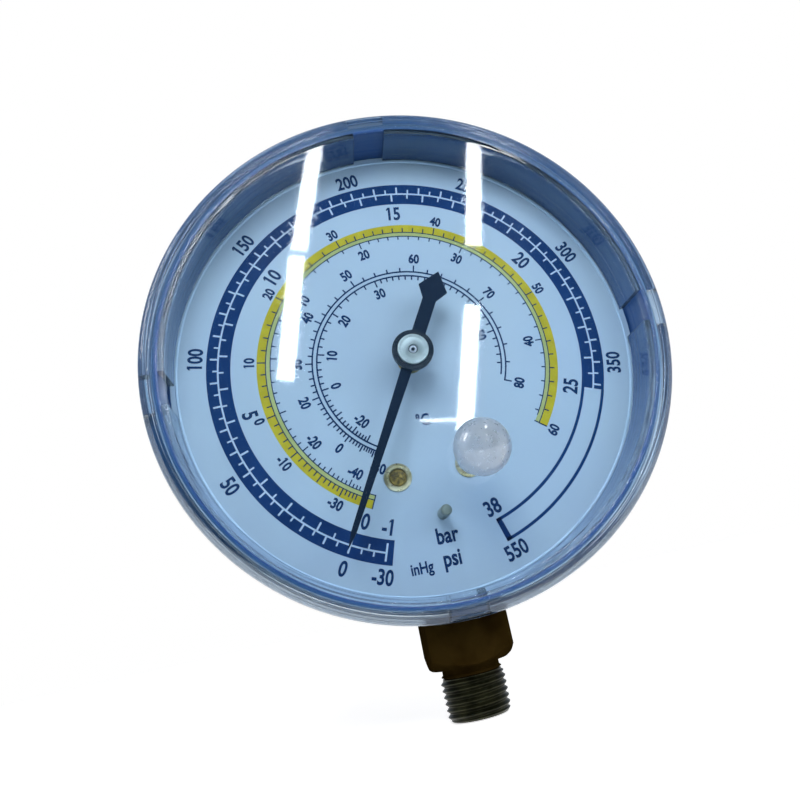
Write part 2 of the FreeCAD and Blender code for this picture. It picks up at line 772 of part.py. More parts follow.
def make_sector():
    """The toothed sector with its open window, its hub and the tail that the link drives."""
    teeth = int(value("sector_full_teeth"))
    pitch = value("gear_module") * teeth / 2
    thickness = value("sector_thickness")
    meshing = math.radians(value("sector_direction") + 180)
    step = 2 * math.pi / teeth
    lead = value("sector_lead_teeth")
    centres = [meshing + (lead - 0.5 - i) * step for i in reversed(range(int(value("sector_cut_teeth"))))]
    tip = pitch + 0.9 * value("gear_module")
    root = pitch - 1.25 * value("gear_module")
    edges = tooth_edges(teeth, centres, tip, root)
    low, high = centres[0] - step / 2, centres[-1] + step / 2
    hub = value("sector_hub")
    edges.append(Part.makeLine(spot(root, high), spot(hub, high)))
    edges.append(arc(hub, high, low))
    edges.append(Part.makeLine(spot(hub, low), spot(root, low)))
    body = plate_of(Part.Wire(Part.__sortEdges__(edges)), thickness)

    rim = root - value("sector_rim")
    inner = hub + value("sector_rim")
    arm = value("sector_arm")
    window = [arc(rim, low + arm / rim, high - arm / rim),
              Part.makeLine(spot(rim, high - arm / rim), spot(inner, high - arm / inner)),
              arc(inner, high - arm / inner, low + arm / inner),
              Part.makeLine(spot(inner, low + arm / inner), spot(rim, low + arm / rim))]
    body = body.cut(plate_of(Part.Wire(window), thickness))

    tail_angle = value("tail_rest")
    tail = value("tail_radius")
    width = value("link_eye") * 2
    bar = Part.makeBox(tail, thickness, width, FreeCAD.Vector(0, -thickness, -width / 2))
    bar.rotate(FreeCAD.Vector(0, 0, 0), FreeCAD.Vector(0, -1, 0), tail_angle)
    eye = spot(tail, math.radians(tail_angle))
    body = body.fuse([bar, disc(hub, thickness), disc(width / 2, thickness, eye)])
    body = body.cut(disc(value("sector_arbor_radius"), thickness))
    body = body.cut(disc(value("link_pin_radius"), thickness, eye))
    sector = doc.addObject("Part::Feature", "sectorGear")
    sector.Shape = body.removeSplitter()
    stand(sector, SECTOR[0], "-sector_level", SECTOR[1])
    node(sector, "sector_gear")

    arbor = rod("sectorArborBar", "sector_arbor_radius", "plate_gap - 2 * running_clear", SECTOR[0],
                "-rear_plate_front + running_clear", SECTOR[1])
    pivots = rod("sectorPivots", "pivot_radius", "plate_gap + 2 * plate_thickness", SECTOR[0],
                 "-rear_plate_back", SECTOR[1])
    node(fuse("sectorArbor", [arbor, pivots]), "sector_arbor")


def make_pinion():
    """The pinion, in one piece with the arbor that carries the pointer."""
    teeth = int(value("pinion_teeth"))
    module = value("gear_module")
    pitch = module * teeth / 2
    facing = math.radians(value("sector_direction"))
    centres = [facing + 2 * math.pi * i / teeth for i in range(teeth)]
    edges = tooth_edges(teeth, centres, pitch + module, pitch - 1.25 * module)
    face = value("pinion_face")
    middle = value("-sector_level + sector_thickness / 2")
    back = value("-rear_plate_front + running_clear")
    front = value("-front_plate_back - running_clear")
    wheel = plate_of(Part.Wire(Part.__sortEdges__(edges)), face)
    wheel.translate(FreeCAD.Vector(0, face / 2 - middle, 0))
    pivot_start = value("-rear_plate_back")
    pivot = disc(value("pivot_radius"), back - pivot_start, start=pivot_start)
    shaft = disc(value("pinion_arbor_radius"), front + value("plate_thickness + 2 * running_clear") - back,
                 start=back)
    spindle = disc(value("pointer_arbor_radius"), value("pointer_arbor_tip") - front, start=front)
    pinion = doc.addObject("Part::Feature", "pinion")
    pinion.Shape = wheel.fuse([pivot, shaft, spindle]).removeSplitter()
    stand(pinion)
    node(pinion, "pinion_arbor")


def make_link():
    """The link and its two riveted pins; its upper eye has play round the tube's pin."""
    level = "-(sector_level - sector_thickness - link_gap)"
    bar = strap("linkBar", TAIL, LINK_END, "link_width", "link_thickness", level)
    lower = rod("linkLowerEye", "link_eye", "link_thickness", TAIL[0], level, TAIL[1])
    upper = rod("linkUpperEye", "link_eye", "link_thickness", LINK_END[0], level, LINK_END[1])
    blank = fuse("linkBlank", [bar, lower, upper])
    lower_hole = rod("linkLowerHole", "link_pin_radius + running_clear", "link_thickness", TAIL[0], level,
                     TAIL[1])
    upper_hole = rod("linkUpperHole", "link_pin_radius + link_slack", "link_thickness", LINK_END[0], level,
                     LINK_END[1])
    node(cut("link", cut("linkDrilled", blank, lower_hole), upper_hole), "link")
    for name, label, place in (("tailPin", "tail_pin", TAIL), ("tipPin", "tip_pin", TIP_PIN)):
        shank_length = "sector_thickness + 2 * link_gap + link_thickness"
        shank = rod(name + "Shank", "link_pin_radius", shank_length + " + link_gap * 2", place[0],
                    "-sector_level", place[1])
        head = rod(name + "Head", "link_pin_head", "link_gap * 2", place[0],
                   "-sector_level + " + shank_length, place[1])
        node(fuse(name, [shank, head]), label)


def tube_section(sketch, grow):
    """The flattened tube's outer shape, grown by a margin; its depth runs front to back."""
    middle = "tube_level"
    half = "(tube_width / 2 + %s)" % grow
    thick = "(tube_thickness / 2 + %s)" % grow
    bevel = "(tube_thickness / 2)"
    return outline(sketch, [
        ("tube_circle - " + thick, "%s - %s + %s" % (middle, half, bevel)),
        ("tube_circle - %s / 2" % thick, "%s - %s" % (middle, half)),
        ("tube_circle + %s / 2" % thick, "%s - %s" % (middle, half)),
        ("tube_circle + " + thick, "%s - %s + %s" % (middle, half, bevel)),
        ("tube_circle + " + thick, "%s + %s - %s" % (middle, half, bevel)),
        ("tube_circle + %s / 2" % thick, "%s + %s" % (middle, half)),
        ("tube_circle - %s / 2" % thick, "%s + %s" % (middle, half)),
        ("tube_circle - " + thick, "%s + %s - %s" % (middle, half, bevel)),
    ])


def tube_ring(name, sweep, grow="0", hollow=False):
    """A stretch of the flattened tube round the dial's axis, from six o'clock clockwise."""
    ring = new_body(name)
    ring.Placement.Rotation = FreeCAD.Rotation(FreeCAD.Vector(0, 1, 0), 90)
    section = tube_section(sketch_on(ring, "XY_Plane", name + "Section"), grow)
    if hollow:
        tube_section(section, "-tube_wall")
    feature(ring, "Revolution", section, ReferenceAxis=(section, ["V_Axis"]), Angle=sweep)
    return ring


def make_tube():
    """The curved tube, closed at its free end by the tip that the link hangs on."""
    node(tube_ring("bourdonTube", "tube_sweep", hollow=True), "bourdon_tube")

    tip = stand(doc.addObject("PartDesign::Body", "tipBlock"))
    tip.Placement.Rotation = FreeCAD.Rotation(FreeCAD.Vector(0, 1, 0), SIZES["tube_sweep"])
    tip.setExpression(".Placement.Rotation.Angle", bound("tube_sweep"))
    depth = "tube_width / 2 + tip_cheek"
    shape = sketch_on(tip, "XZ_Plane", "tipOutline", "-(tube_level + %s)" % depth)
    thick = "(tube_thickness / 2 + tip_cheek)"
    outline(shape, [
        ("-(tip_length - tip_overlap)", "-(tube_circle + %s)" % thick),
        ("tip_overlap", "-(tube_circle + %s)" % thick),
        ("tip_overlap", "-(tube_circle - %s)" % thick),
        ("-(tip_length - tip_overlap)", "-(tube_circle - %s)" % thick),
    ])
    feature(tip, "Pad", shape, Length="2 * (%s)" % depth)
    lug_level = "-sector_level"
    lug_end = ("-tube_circle * sin(tube_sweep)", "-tube_circle * cos(tube_sweep)")
    arm = strap("tipArm", TIP_PIN, lug_end, "2 * lug_radius", "sector_thickness", lug_level)
    eye = rod("tipEye", "lug_radius", "sector_thickness", TIP_PIN[0], lug_level, TIP_PIN[1])
    hole = rod("tipHole", "link_pin_radius", "sector_thickness", TIP_PIN[0], lug_level, TIP_PIN[1])
    blank = fuse("tipBlank", [tip, arm, eye])
    seat = tube_ring("tipSeat", "tube_sweep")
    node(cut("tubeTip", cut("tipDrilled", blank, hole), seat), "tube_tip")


def make_hairspring():
    """The flat spiral of half circles, its collet on the arbor and its stud on the front plate."""
    thick = value("spring_thickness")
    pitch = value("spring_pitch")
    width = value("spring_width")
    level = value("-spring_level")
    radius = value("collet_radius") + thick / 2
    turns = int(value("spring_turns"))
    ribbon = None
    shift = 0.0
    for half_turn in range(2 * turns):
        side = 1 if half_turn % 2 == 0 else -1
        middle = FreeCAD.Vector(shift, 0, 0)
        outer = disc(radius + thick / 2, width, middle, level)
        inner = disc(radius - thick / 2, width, middle, level)
        reach = 2 * (radius + thick)
        corner = FreeCAD.Vector(shift - reach, -level - width, 0 if side > 0 else -reach)
        keep = Part.makeBox(2 * reach, width, reach, corner)
        piece = outer.cut(inner).common(keep)
        ribbon = piece if ribbon is None else ribbon.fuse(piece)
        shift -= side * pitch / 2
        radius += pitch / 2
    spring = doc.addObject("Part::Feature", "hairspring")
    spring.Shape = ribbon.removeSplitter()
    stand(spring)
    node(spring, "hairspring")

    end_radius = "(collet_radius + spring_thickness / 2 + spring_pitch * (2 * spring_turns - 1) / 2)"
    collet_solid = rod("colletBar", "collet_radius", "spring_width", "0", "-spring_level", "0")
    collet_hole = rod("colletBore", "pinion_arbor_radius", "spring_width", "0", "-spring_level", "0")
    node(cut("collet", collet_solid, collet_hole), "hairspring_collet")

    end_x = "%s + spring_pitch / 2" % end_radius
    stud = rod("studBar", "stud_radius", "spring_drop",
               end_x + " + stud_radius + spring_thickness / 2", "-spring_level", "0")
    node(stud, "hairspring_stud")


def make_retard_spring():
    """The blade that the tube's tip meets near the end of the scale, with its screw."""
    end = (TIP_PIN[0] + " + tip_travel * cos(travel_direction) + retard_reach",
           TIP_PIN[1] + " + tip_travel * sin(travel_direction) + lug_radius + retard_gap")
    blade = strap("retardBlade", ("retard_foot_x", "retard_foot_z"), end, "retard_thickness",
                  "retard_width", "-rear_plate_front")
    foot = block("retardFoot", "retard_foot_x - retard_foot", "retard_foot_x + retard_thickness",
                 "-rear_plate_front", "-rear_plate_front + retard_thickness",
                 "retard_foot_z - retard_foot / 2", "retard_foot_z + retard_foot / 2")
    screw_x = "retard_foot_x - retard_foot / 2"
    hole = rod("retardHole", "pillar_screw_radius", "retard_thickness", screw_x, "-rear_plate_front",
               "retard_foot_z")
    node(cut("retardSpring", fuse("retardBlank", [blade, foot]), hole), "retard_spring")
    head = rod("retardScrewHead", "pillar_screw_head", "pillar_screw_height", screw_x,
               "-rear_plate_front + retard_thickness", "retard_foot_z")
    shank = rod("retardScrewShank", "pillar_screw_radius", "retard_thickness + pillar_screw_height", screw_x,
                "-rear_plate_front", "retard_foot_z")
    node(fuse("retardScrew", [head, shank]), "retard_screw")


def make_socket():
    """The brass socket: threaded stem, wrench block, tube seat and the tongue for the movement."""
    socket = doc.addObject("PartDesign::Body", "socketBody")
    half = "block_width / 2"
    block_foot = "(neck_length + thread_radius - neck_radius)"
    wrench_top = "dial_height - rim_bore - block_top_clear"
    square = [("-" + half, "-" + half), (half, "-" + half), (half, half), ("-" + half, half)]
    base = outline(sketch_on(socket, "XY_Plane", "wrenchBlock", block_foot), square)
    feature(socket, "Pad", base, Length="%s - %s" % (wrench_top, block_foot))

    bevel = outline(sketch_on(socket, "XZ_Plane", "wrenchBevel"), [
        ("block_cone_radius", block_foot),
        ("block_width", block_foot),
        ("block_width", block_foot + " + (block_width - block_cone_radius) * block_cone_slope"),
    ])
    feature(socket, "Groove", bevel, ReferenceAxis=(bevel, ["V_Axis"]), Angle=360)

    stem = outline(sketch_on(socket, "XZ_Plane", "stemProfile"), [
        ("0", block_foot),
        ("neck_radius", block_foot),
        ("neck_radius", "thread_radius - neck_radius"),
        ("thread_radius", "0"),
        ("thread_radius", "-(stem_length - thread_chamfer)"),
        ("thread_radius - thread_chamfer", "-stem_length"),
        ("0", "-stem_length"),
    ])
    feature(socket, "Revolution", stem, ReferenceAxis=(stem, ["V_Axis"]), Angle=360)

    front = "socket_front - dial_offset"
    inner = outline(sketch_on(socket, "XY_Plane", "innerBlock", wrench_top), [
        ("-" + half, front), (half, front), (half, half), ("-" + half, half)])
    feature(socket, "Pad", inner, Length="dial_height - socket_top - (%s)" % wrench_top)

    floor = "case_floor - dial_offset"
    boss = outline(sketch_on(socket, "XY_Plane", "rearBoss", "dial_height - boss_bottom"), [
        ("-" + half, half), (half, half), (half, floor), ("-" + half, floor)])
    feature(socket, "Pad", boss, Length="boss_bottom - socket_top")

    seat = "rear_plate_back - dial_offset"
    tongue = outline(sketch_on(socket, "XY_Plane", "tongue", "dial_height - socket_top"), [
        ("-" + half, seat), (half, seat),
        (half, seat + " + tongue_thickness"), ("-" + half, seat + " + tongue_thickness")])
    feature(socket, "Pad", tongue, Length="socket_top - tongue_top")

    bores = []
    for name, radius, low, high in (
            ("stemBore", "bore_radius", "-stem_length", "bore_depth - stem_length"),
            ("tubeChannel", "channel_radius", "0", "dial_height - tube_circle")):
        bore = doc.addObject("Part::Cylinder", name)
        bore.setExpression("Radius", bound(radius))
        bore.setExpression("Height", bound("(%s) - (%s)" % (high, low)))
        bore.setExpression(".Placement.Base.z", bound(low))
        bores.append(bore)
    for number, (x, up) in enumerate(MOVEMENT_SCREWS):
        bores.append(rod("movementScrewBore%d" % number, "movement_screw_radius",
                         "movement_screw_length - plate_thickness", x,
                         "-rear_plate_front - movement_screw_length", up))
    for number, (x, up) in enumerate(CASE_SCREWS):
        bores.append(rod("caseScrewBore%d" % number, "case_screw_radius", "case_screw_length - case_wall", x,
                         "-case_floor", up))
    bores.append(tube_ring("socketSeat", "30"))
    node(cut("socket", socket, fuse("socketBores", bores)), "socket")

    plug = doc.addObject("Part::Cylinder", "restrictorBar")
    hole = doc.addObject("Part::Cylinder", "restrictorHole")
    for part, radius in ((plug, "bore_radius"), (hole, "restrictor_bore")):
        part.setExpression("Radius", bound(radius))
        part.setExpression("Height", bound("restrictor_length"))
        part.setExpression(".Placement.Base.z", bound("-stem_length + restrictor_place"))
    node(cut("restrictor", plug, hole), "restrictor_screw")


def make_fixing_screws():
    """The screws from the movement into the socket, and those through the back of the case."""
    movement = []
    for number, (x, up) in enumerate(MOVEMENT_SCREWS):
        head = rod("movementScrewHead%d" % number, "movement_screw_head", "movement_screw_height", x,
                   "-rear_plate_front", up)
        shank = rod("movementScrewShank%d" % number, "movement_screw_radius",
                    "movement_screw_length + movement_screw_height", x,
                    "-rear_plate_front - movement_screw_length", up)
        movement.append(fuse("movementScrew%d" % number, [head, shank]))
    node(group("movementScrews", movement), "movement_screws")
    case = []
    for number, (x, up) in enumerate(CASE_SCREWS):
        head = rod("caseScrewHead%d" % number, "case_screw_head", "case_screw_height", x,
                   "-case_depth - case_screw_height", up)
        shank = rod("caseScrewShank%d" % number, "case_screw_radius", "case_screw_length + case_screw_height",
                    x, "-case_depth - case_screw_height", up)
        case.append(fuse("caseScrew%d" % number, [head, shank]))
    node(group("caseScrews", case), "case_screws")


make_case()
make_lens()
make_plug()
make_dial()
make_face_screws()
make_posts()
make_pointer()
make_plates()
make_pillars()
make_sector()
make_pinion()
make_link()
make_tube()
make_hairspring()
make_retard_spring()
make_socket()
make_fixing_screws()
doc.recompute()

for thing in doc.Objects:
    if "Invalid" in thing.State or "Error" in thing.State:
        raise SystemExit("not built: " + thing.Label)
for piece in nodes:
    if piece.Shape.isNull() or not piece.Shape.isValid():
        raise SystemExit("bad shape: " + piece.Label)

os.makedirs("parts", exist_ok=True)
for piece in nodes:
    piece.Shape.exportStep("parts/" + piece.Label + ".step")
    print(piece.Label, len(piece.Shape.Solids), "solids", round(piece.Shape.Volume, 2), "mm3")
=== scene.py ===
import math

import bmesh
import bpy
import numpy as np
from mathutils import Euler, Matrix, Vector


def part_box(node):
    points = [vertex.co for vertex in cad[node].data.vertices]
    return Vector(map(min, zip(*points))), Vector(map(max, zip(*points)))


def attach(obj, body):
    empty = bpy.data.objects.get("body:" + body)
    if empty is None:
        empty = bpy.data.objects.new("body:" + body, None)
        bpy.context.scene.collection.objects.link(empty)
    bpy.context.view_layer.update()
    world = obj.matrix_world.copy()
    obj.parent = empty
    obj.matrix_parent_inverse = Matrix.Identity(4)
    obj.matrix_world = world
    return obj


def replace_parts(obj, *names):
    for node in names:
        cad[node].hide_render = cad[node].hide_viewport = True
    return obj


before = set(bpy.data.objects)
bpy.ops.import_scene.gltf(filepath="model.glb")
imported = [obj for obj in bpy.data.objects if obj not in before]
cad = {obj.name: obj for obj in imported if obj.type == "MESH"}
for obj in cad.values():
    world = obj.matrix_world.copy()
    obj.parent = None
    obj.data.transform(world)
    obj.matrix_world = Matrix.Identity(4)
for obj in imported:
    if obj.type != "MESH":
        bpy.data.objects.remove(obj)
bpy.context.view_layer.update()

# Looks of the pressure gauge. Lengths are millimetres measured from the middle of the dial's face:
# x to the right, level towards the reader, up towards twelve o'clock. Angles on the dial run
# clockwise from six o'clock, in degrees, as the gauge's own scale does.

MM = 0.001
dial_low, dial_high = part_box("dial")
FACE = dial_low.y
MIDDLE = (dial_low.z + dial_high.z) / 2


def to_frame(points):
    """Dial coordinates (x, level, up) in millimetres, as places in the gauge's own frame."""
    points = np.asarray(points, float)
    return np.stack([points[..., 0] * MM, FACE - points[..., 1] * MM, MIDDLE + points[..., 2] * MM], -1)


def to_dial(corner):
    """A corner of a CAD box, in dial coordinates."""
    return np.array([corner.x / MM, (FACE - corner.y) / MM, (corner.z - MIDDLE) / MM])


def measures(node):
    """Middle x, middle up, half width, back level and front level of a node."""
    low, high = (to_dial(corner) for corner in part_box(node))
    return ((low[0] + high[0]) / 2, (low[2] + high[2]) / 2, (high[0] - low[0]) / 2,
            min(low[1], high[1]), max(low[1], high[1]))


# Meshes


def around(angle, radius):
    """x and up of a place on the dial."""
    turn = np.radians(angle)
    return -radius * np.sin(turn), -radius * np.cos(turn)


def grid_faces(rows, columns, wrap_rows=False, wrap_columns=False):
    """Quads of a grid of points; a wrapped direction joins its last line to its first."""
    row = np.arange(rows if wrap_rows else rows - 1)
    column = np.arange(columns if wrap_columns else columns - 1)
    r, c = (index.ravel() for index in np.meshgrid(row, column, indexing="ij"))
    r_next, c_next = (r + 1) % rows, (c + 1) % columns
    return np.stack([r * columns + c, r * columns + c_next, r_next * columns + c_next,
                     r_next * columns + c], -1)


def prism_faces(rows, count):
    """Faces of a closed outline of count corners carried through rows, with both ends closed."""
    last = count * (rows - 1)
    ends = [list(range(count)), list(range(last, last + count))[::-1]]
    return grid_faces(rows, count, False, True).tolist() + ends


def spun(points, degrees, x, up):
    """Points (across, level, rise) turned about the level axis, then moved by x and up."""
    turn = math.radians(degrees)
    across, level, rise = np.asarray(points, float).T
    return np.stack([x + across * math.cos(turn) - rise * math.sin(turn), level,
                     up + across * math.sin(turn) + rise * math.cos(turn)], -1)


def in_scene(name, data):
    """A new object in the scene, of a mesh, a curve, a lamp or a camera."""
    thing = bpy.data.objects.new(name, data)
    bpy.context.scene.collection.objects.link(thing)
    return thing


def mesh_from(name, points, faces):
    """A mesh of points in dial coordinates."""
    mesh = bpy.data.meshes.new(name)
    mesh.from_pydata(to_frame(points).tolist(), [], [list(map(int, face)) for face in faces])
    return mesh


def cleaned(mesh, merge=1e-7, drop_collapsed=True):
    """Merge a mesh's doubles, drop its collapsed faces where asked and turn the others outwards."""
    work = bmesh.new()
    work.from_mesh(mesh)
    bmesh.ops.remove_doubles(work, verts=work.verts, dist=merge)
    if drop_collapsed:
        bmesh.ops.dissolve_degenerate(work, edges=work.edges, dist=merge)
    bmesh.ops.recalc_face_normals(work, faces=work.faces)
    work.to_mesh(mesh)
    work.free()
    return mesh


def dress(mesh, name, finish, body, smooth_angle=35, merge=1e-7):
    """Clean and smooth a mesh, and make it an object with its finish that rides on a body."""
    cleaned(mesh, merge)
    mesh.polygons.foreach_set("use_smooth", np.ones(len(mesh.polygons), bool))
    mesh.set_sharp_from_angle(angle=math.radians(smooth_angle))
    mesh.materials.clear()
    mesh.materials.append(finish)
    thing = in_scene(name, mesh)
    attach(thing, body)
    return thing


def mesh_piece(name, points, faces, finish, body, slot, smooth_angle=35):
    """A mesh object with clean outward normals that rides on a body."""
    return dress(mesh_from(name, points, faces), name, finish, body, smooth_angle)


def turned(profile, steps, middle=(0.0, 0.0)):
    """A closed outline of (radius, level) carried round an axis through the middle."""
    radius, level = np.asarray(profile, float).T
    turn = np.linspace(0, 2 * math.pi, steps, endpoint=False)
    x = middle[0] + radius[:, None] * np.sin(turn)
    up = middle[1] + radius[:, None] * np.cos(turn)
    points = np.stack([x, np.repeat(level[:, None], steps, 1), up], -1).reshape(-1, 3)
    return points, grid_faces(len(radius), steps, True, True)


def rounding(centre, size, start, end, steps=8):
    """Points of an arc in an outline, as (radius, level) pairs, by its angles in degrees."""
    turn = np.radians(np.linspace(start, end, steps))
    return [(centre[0] + size * math.sin(t), centre[1] + size * math.cos(t)) for t in turn]


def wedge(inner, outer, start, end, low, high, step=1.0):
    """A closed solid between two radii, two levels and two angles."""
    count = max(2, int(abs(end - start) / step) + 1)
    x, up = around(np.linspace(start, end, count)[:, None], np.array([inner, outer, outer, inner]))
    level = np.broadcast_to([high, high, low, low], x.shape)
    return np.stack([x, level, up], -1).reshape(-1, 3), prism_faces(count, 4)


def bar(x_low, x_high, level_low, level_high, up_low, up_high):
    """A closed square block between its sides."""
    corners = [(x, level, up) for x in (x_low, x_high) for level in (level_low, level_high)
               for up in (up_low, up_high)]
    faces = [[0, 1, 3, 2], [4, 6, 7, 5], [0, 4, 5, 1], [2, 3, 7, 6], [0, 2, 6, 4], [1, 5, 7, 3]]
    return np.array(corners, float), faces


def carved(name, solid, cutter):
    """The mesh of one closed solid with another taken from it."""
    base, tool = [in_scene(part, cleaned(mesh_from(part, *shape), drop_collapsed=False))
                  for part, shape in ((name, solid), (name + "_tool", cutter))]
    change = base.modifiers.new("carve", "BOOLEAN")
    change.operation = "DIFFERENCE"
    change.solver = "EXACT"
    change.object = tool
    bpy.context.view_layer.update()
    mesh = bpy.data.meshes.new_from_object(base.evaluated_get(bpy.context.evaluated_depsgraph_get()))
    for thing in (base, tool):
        bpy.data.objects.remove(thing)
    return mesh


def joined(shapes):
    """Several (points, faces) pairs as one."""
    points, faces, count = [], [], 0
    for some_points, some_faces in shapes:
        points.append(np.asarray(some_points, float).reshape(-1, 3))
        faces.extend([[int(corner) + count for corner in face] for face in some_faces])
        count += len(points[-1])
    return np.concatenate(points), faces


# Print on the dial: thin raised layers of ink

INK = 0.02
INK_OVER = 0.04


def arc_band(inner, outer, start, end, top=INK, step=1.0):
    """A flat strip of ink between two radii, from one angle to another."""
    return wedge(inner, outer, start, end, -INK, top, step)


def strokes(angles, inner, outer, width, top=INK):
    """A short straight stroke across the ring at each angle."""
    angles = np.atleast_1d(np.asarray(angles, float))
    turn = np.radians(angles)[:, None]
    along = np.array([inner, inner, outer, outer] * 2)
    across = np.array([-1, 1, 1, -1] * 2) * width / 2
    level = np.array([top] * 4 + [-INK] * 4)
    x = -along * np.sin(turn) + across * np.cos(turn)
    up = -along * np.cos(turn) - across * np.sin(turn)
    points = np.stack([x, np.broadcast_to(level, x.shape), up], -1).reshape(-1, 3)
    sides = np.array([[0, 1, 2, 3], [7, 6, 5, 4], [0, 4, 5, 1], [1, 5, 6, 2], [2, 6, 7, 3], [3, 7, 4, 0]])
    faces = (np.arange(len(angles))[:, None, None] * 8 + sides).reshape(-1, 4)
    return points, faces.tolist()


def glyphs(text, weight):
    """The flat outline of a word as a solid one unit tall, with its middle at the origin."""
    curve = bpy.data.curves.new("lettering", "FONT")
    curve.body = text
    curve.extrude = 0.5
    curve.offset = weight
    curve.resolution_u = 4
    thing = in_scene("lettering", curve)
    bpy.context.view_layer.update()
    mesh = bpy.data.meshes.new_from_object(thing)
    points = np.empty(len(mesh.vertices) * 3)
    mesh.vertices.foreach_get("co", points)
    faces = [list(polygon.vertices) for polygon in mesh.polygons]
    bpy.data.objects.remove(thing)
    bpy.data.curves.remove(curve)
    bpy.data.meshes.remove(mesh)
    return points.reshape(-1, 3), faces


FIGURE_HEIGHT = np.ptp(glyphs("0", 0.0)[0][:, 1])
# Corners of a one's flag, from the top left of its stroke, where a letter is about one unit tall
FLAG = np.array([(0.02, 0.0), (-0.1, -0.09), (-0.1, -0.19), (0.02, -0.11)])


def flagged(text, weight):
    """A word whose ones carry a short flag, down to the left from the top of their stroke."""
    stroke = np.ptp(glyphs("1", weight)[0][:, 0])
    shapes = [glyphs(text, weight)]
    for place, figure in enumerate(text):
        if figure == "1":
            ones = glyphs(text[:place + 1], weight)[0]
            corners = FLAG + (ones[:, 0].max() - stroke, ones[:, 1].max())
            shapes.append(([(a, b, depth) for depth in (-0.5, 0.5) for a, b in corners], prism_faces(2, 4)))
    return joined(shapes)


def label(text, height, x, up, turn=0.0, narrow=0.78, weight=0.028):
    """A word centred on a place of the dial; turn is degrees clockwise."""
    points, faces = flagged(text, weight)
    scale = height / FIGURE_HEIGHT
    centre = (points[:, :2].max(0) + points[:, :2].min(0)) / 2
    across = (points[:, 0] - centre[0]) * scale * narrow
    rise = (points[:, 1] - centre[1]) * scale
    level = np.where(points[:, 2] > 0, INK, -INK)
    return spun(np.stack([across, level, rise], -1), -turn, x, up), faces


def ring_label(text, height, angle, radius, **how):
    """A word on a circle; it stands outwards over the upper half and inwards over the lower."""
    x, up = around(angle, radius)
    upright = 90 < angle % 360 < 270
    return label(text, height, x, up, angle - 180 if upright else angle, **how)


# The gauge's scales, as the angle of a reading

ZERO = 28.7
PER_PSI = 0.72
PER_BAR = 10.44
PER_INHG = 0.3467


def boiling(a, b, c):
    """A temperature scale: the angle at which the vapour pressure exp(a - b / (t + c)) bar reads."""
    def angle(temperature):
        pressure = np.exp(a - b / (np.asarray(temperature, float) + c)) - 1
        return ZERO + PER_BAR * pressure
    return angle


# Materials


def feed(tree, made, inputs):
    """Set or link the inputs of a node, each by its name or number."""
    for socket, source in inputs.items():
        if isinstance(source, bpy.types.NodeSocket):
            tree.links.new(source, made.inputs[socket])
        else:
            made.inputs[socket].default_value = source


def node(tree, kind, inputs=None, **fields):
    """The outputs of a new shader node with these fields and inputs."""
    made = tree.nodes.new("ShaderNode" + kind)
    for field, setting in fields.items():
        setattr(made, field, setting)
    feed(tree, made, inputs or {})
    return made.outputs


def maths(tree, operation, *values):
    """The result of one operation on numbers or sockets."""
    return node(tree, "Math", dict(enumerate(values)), operation=operation)["Value"]


def vector_maths(tree, operation, *values):
    """The outputs of one operation on vectors."""
    return node(tree, "VectorMath", dict(enumerate(values)), operation=operation)


def mapped(tree, value, start, end, interpolation="LINEAR"):
    """A value carried from one pair of limits to another."""
    limits = {"Value": value, "From Min": start[0], "From Max": start[1], "To Min": end[0], "To Max": end[1]}
    return node(tree, "MapRange", limits, interpolation_type=interpolation)["Result"]


def new_group(name, inputs, outputs):
    """A node group with its inputs' starting values: the group, its given values and its result node."""
    group = bpy.data.node_groups.new(name, "ShaderNodeTree")
    for socket, start in inputs.items():
        kind = "NodeSocketColor" if isinstance(start, tuple) else "NodeSocketFloat"
        group.interface.new_socket(name=socket, in_out="INPUT", socket_type=kind).default_value = start
    for socket, kind in outputs.items():
        group.interface.new_socket(name=socket, in_out="OUTPUT", socket_type=kind)
    return group, group.nodes.new("NodeGroupInput").outputs, group.nodes.new("NodeGroupOutput")


def uneven_group():
    """Uneven colour, gloss and height: slow clouds and a fine grain over Object coordinates."""
    group, given, result = new_group(
        "uneven_surface",
        {"Dark": (0.5, 0.5, 0.5, 1), "Light": (0.6, 0.6, 0.6, 1), "Cloud Scale": 120.0, "Grain Scale": 1500.0,
         "Rough Low": 0.3, "Rough High": 0.4},
        {"Color": "NodeSocketColor", "Roughness": "NodeSocketFloat", "Height": "NodeSocketFloat"})
    place = node(group, "TexCoord")["Object"]
    cloud = node(group, "TexNoise", {"Vector": place, "Scale": given["Cloud Scale"], "Detail": 4})["Fac"]
    grain = node(group, "TexNoise", {"Vector": place, "Scale": given["Grain Scale"], "Detail": 2})["Fac"]
    spread = mapped(group, cloud, (0.35, 0.65), (0.0, 1.0))
    blend = node(group, "Mix", {"Factor": spread, "A": given["Dark"], "B": given["Light"]}, data_type="RGBA")
    gloss = mapped(group, grain, (0.0, 1.0), (given["Rough Low"], given["Rough High"]))
    height = maths(group, "MULTIPLY_ADD", cloud, 0.5, grain)
    feed(group, result, {"Color": blend["Result"], "Roughness": gloss, "Height": height})
    return group


UNEVEN = uneven_group()
RELIEF = 0.00005


def finish(name, dark, light, rough=(0.3, 0.4), cloud=120.0, grain=1500.0, bump=0.1, **shader):
    """A material of two near tones with uneven gloss; the rest is set on the shader itself."""
    material = bpy.data.materials.new(name)
    material.use_nodes = True
    tree = material.node_tree
    surface = node(tree, "Group", node_tree=UNEVEN, inputs={
        "Dark": (*dark, 1), "Light": (*light, 1), "Cloud Scale": cloud, "Grain Scale": grain,
        "Rough Low": rough[0], "Rough High": rough[1]})
    relief = node(tree, "Bump", {"Height": surface["Height"], "Strength": bump, "Distance": RELIEF})
    feed(tree, tree.nodes["Principled BSDF"], {
        "Base Color": surface["Color"], "Roughness": surface["Roughness"], "Normal": relief["Normal"],
        **{socket.replace("_", " "): setting for socket, setting in shader.items()}})
    return material


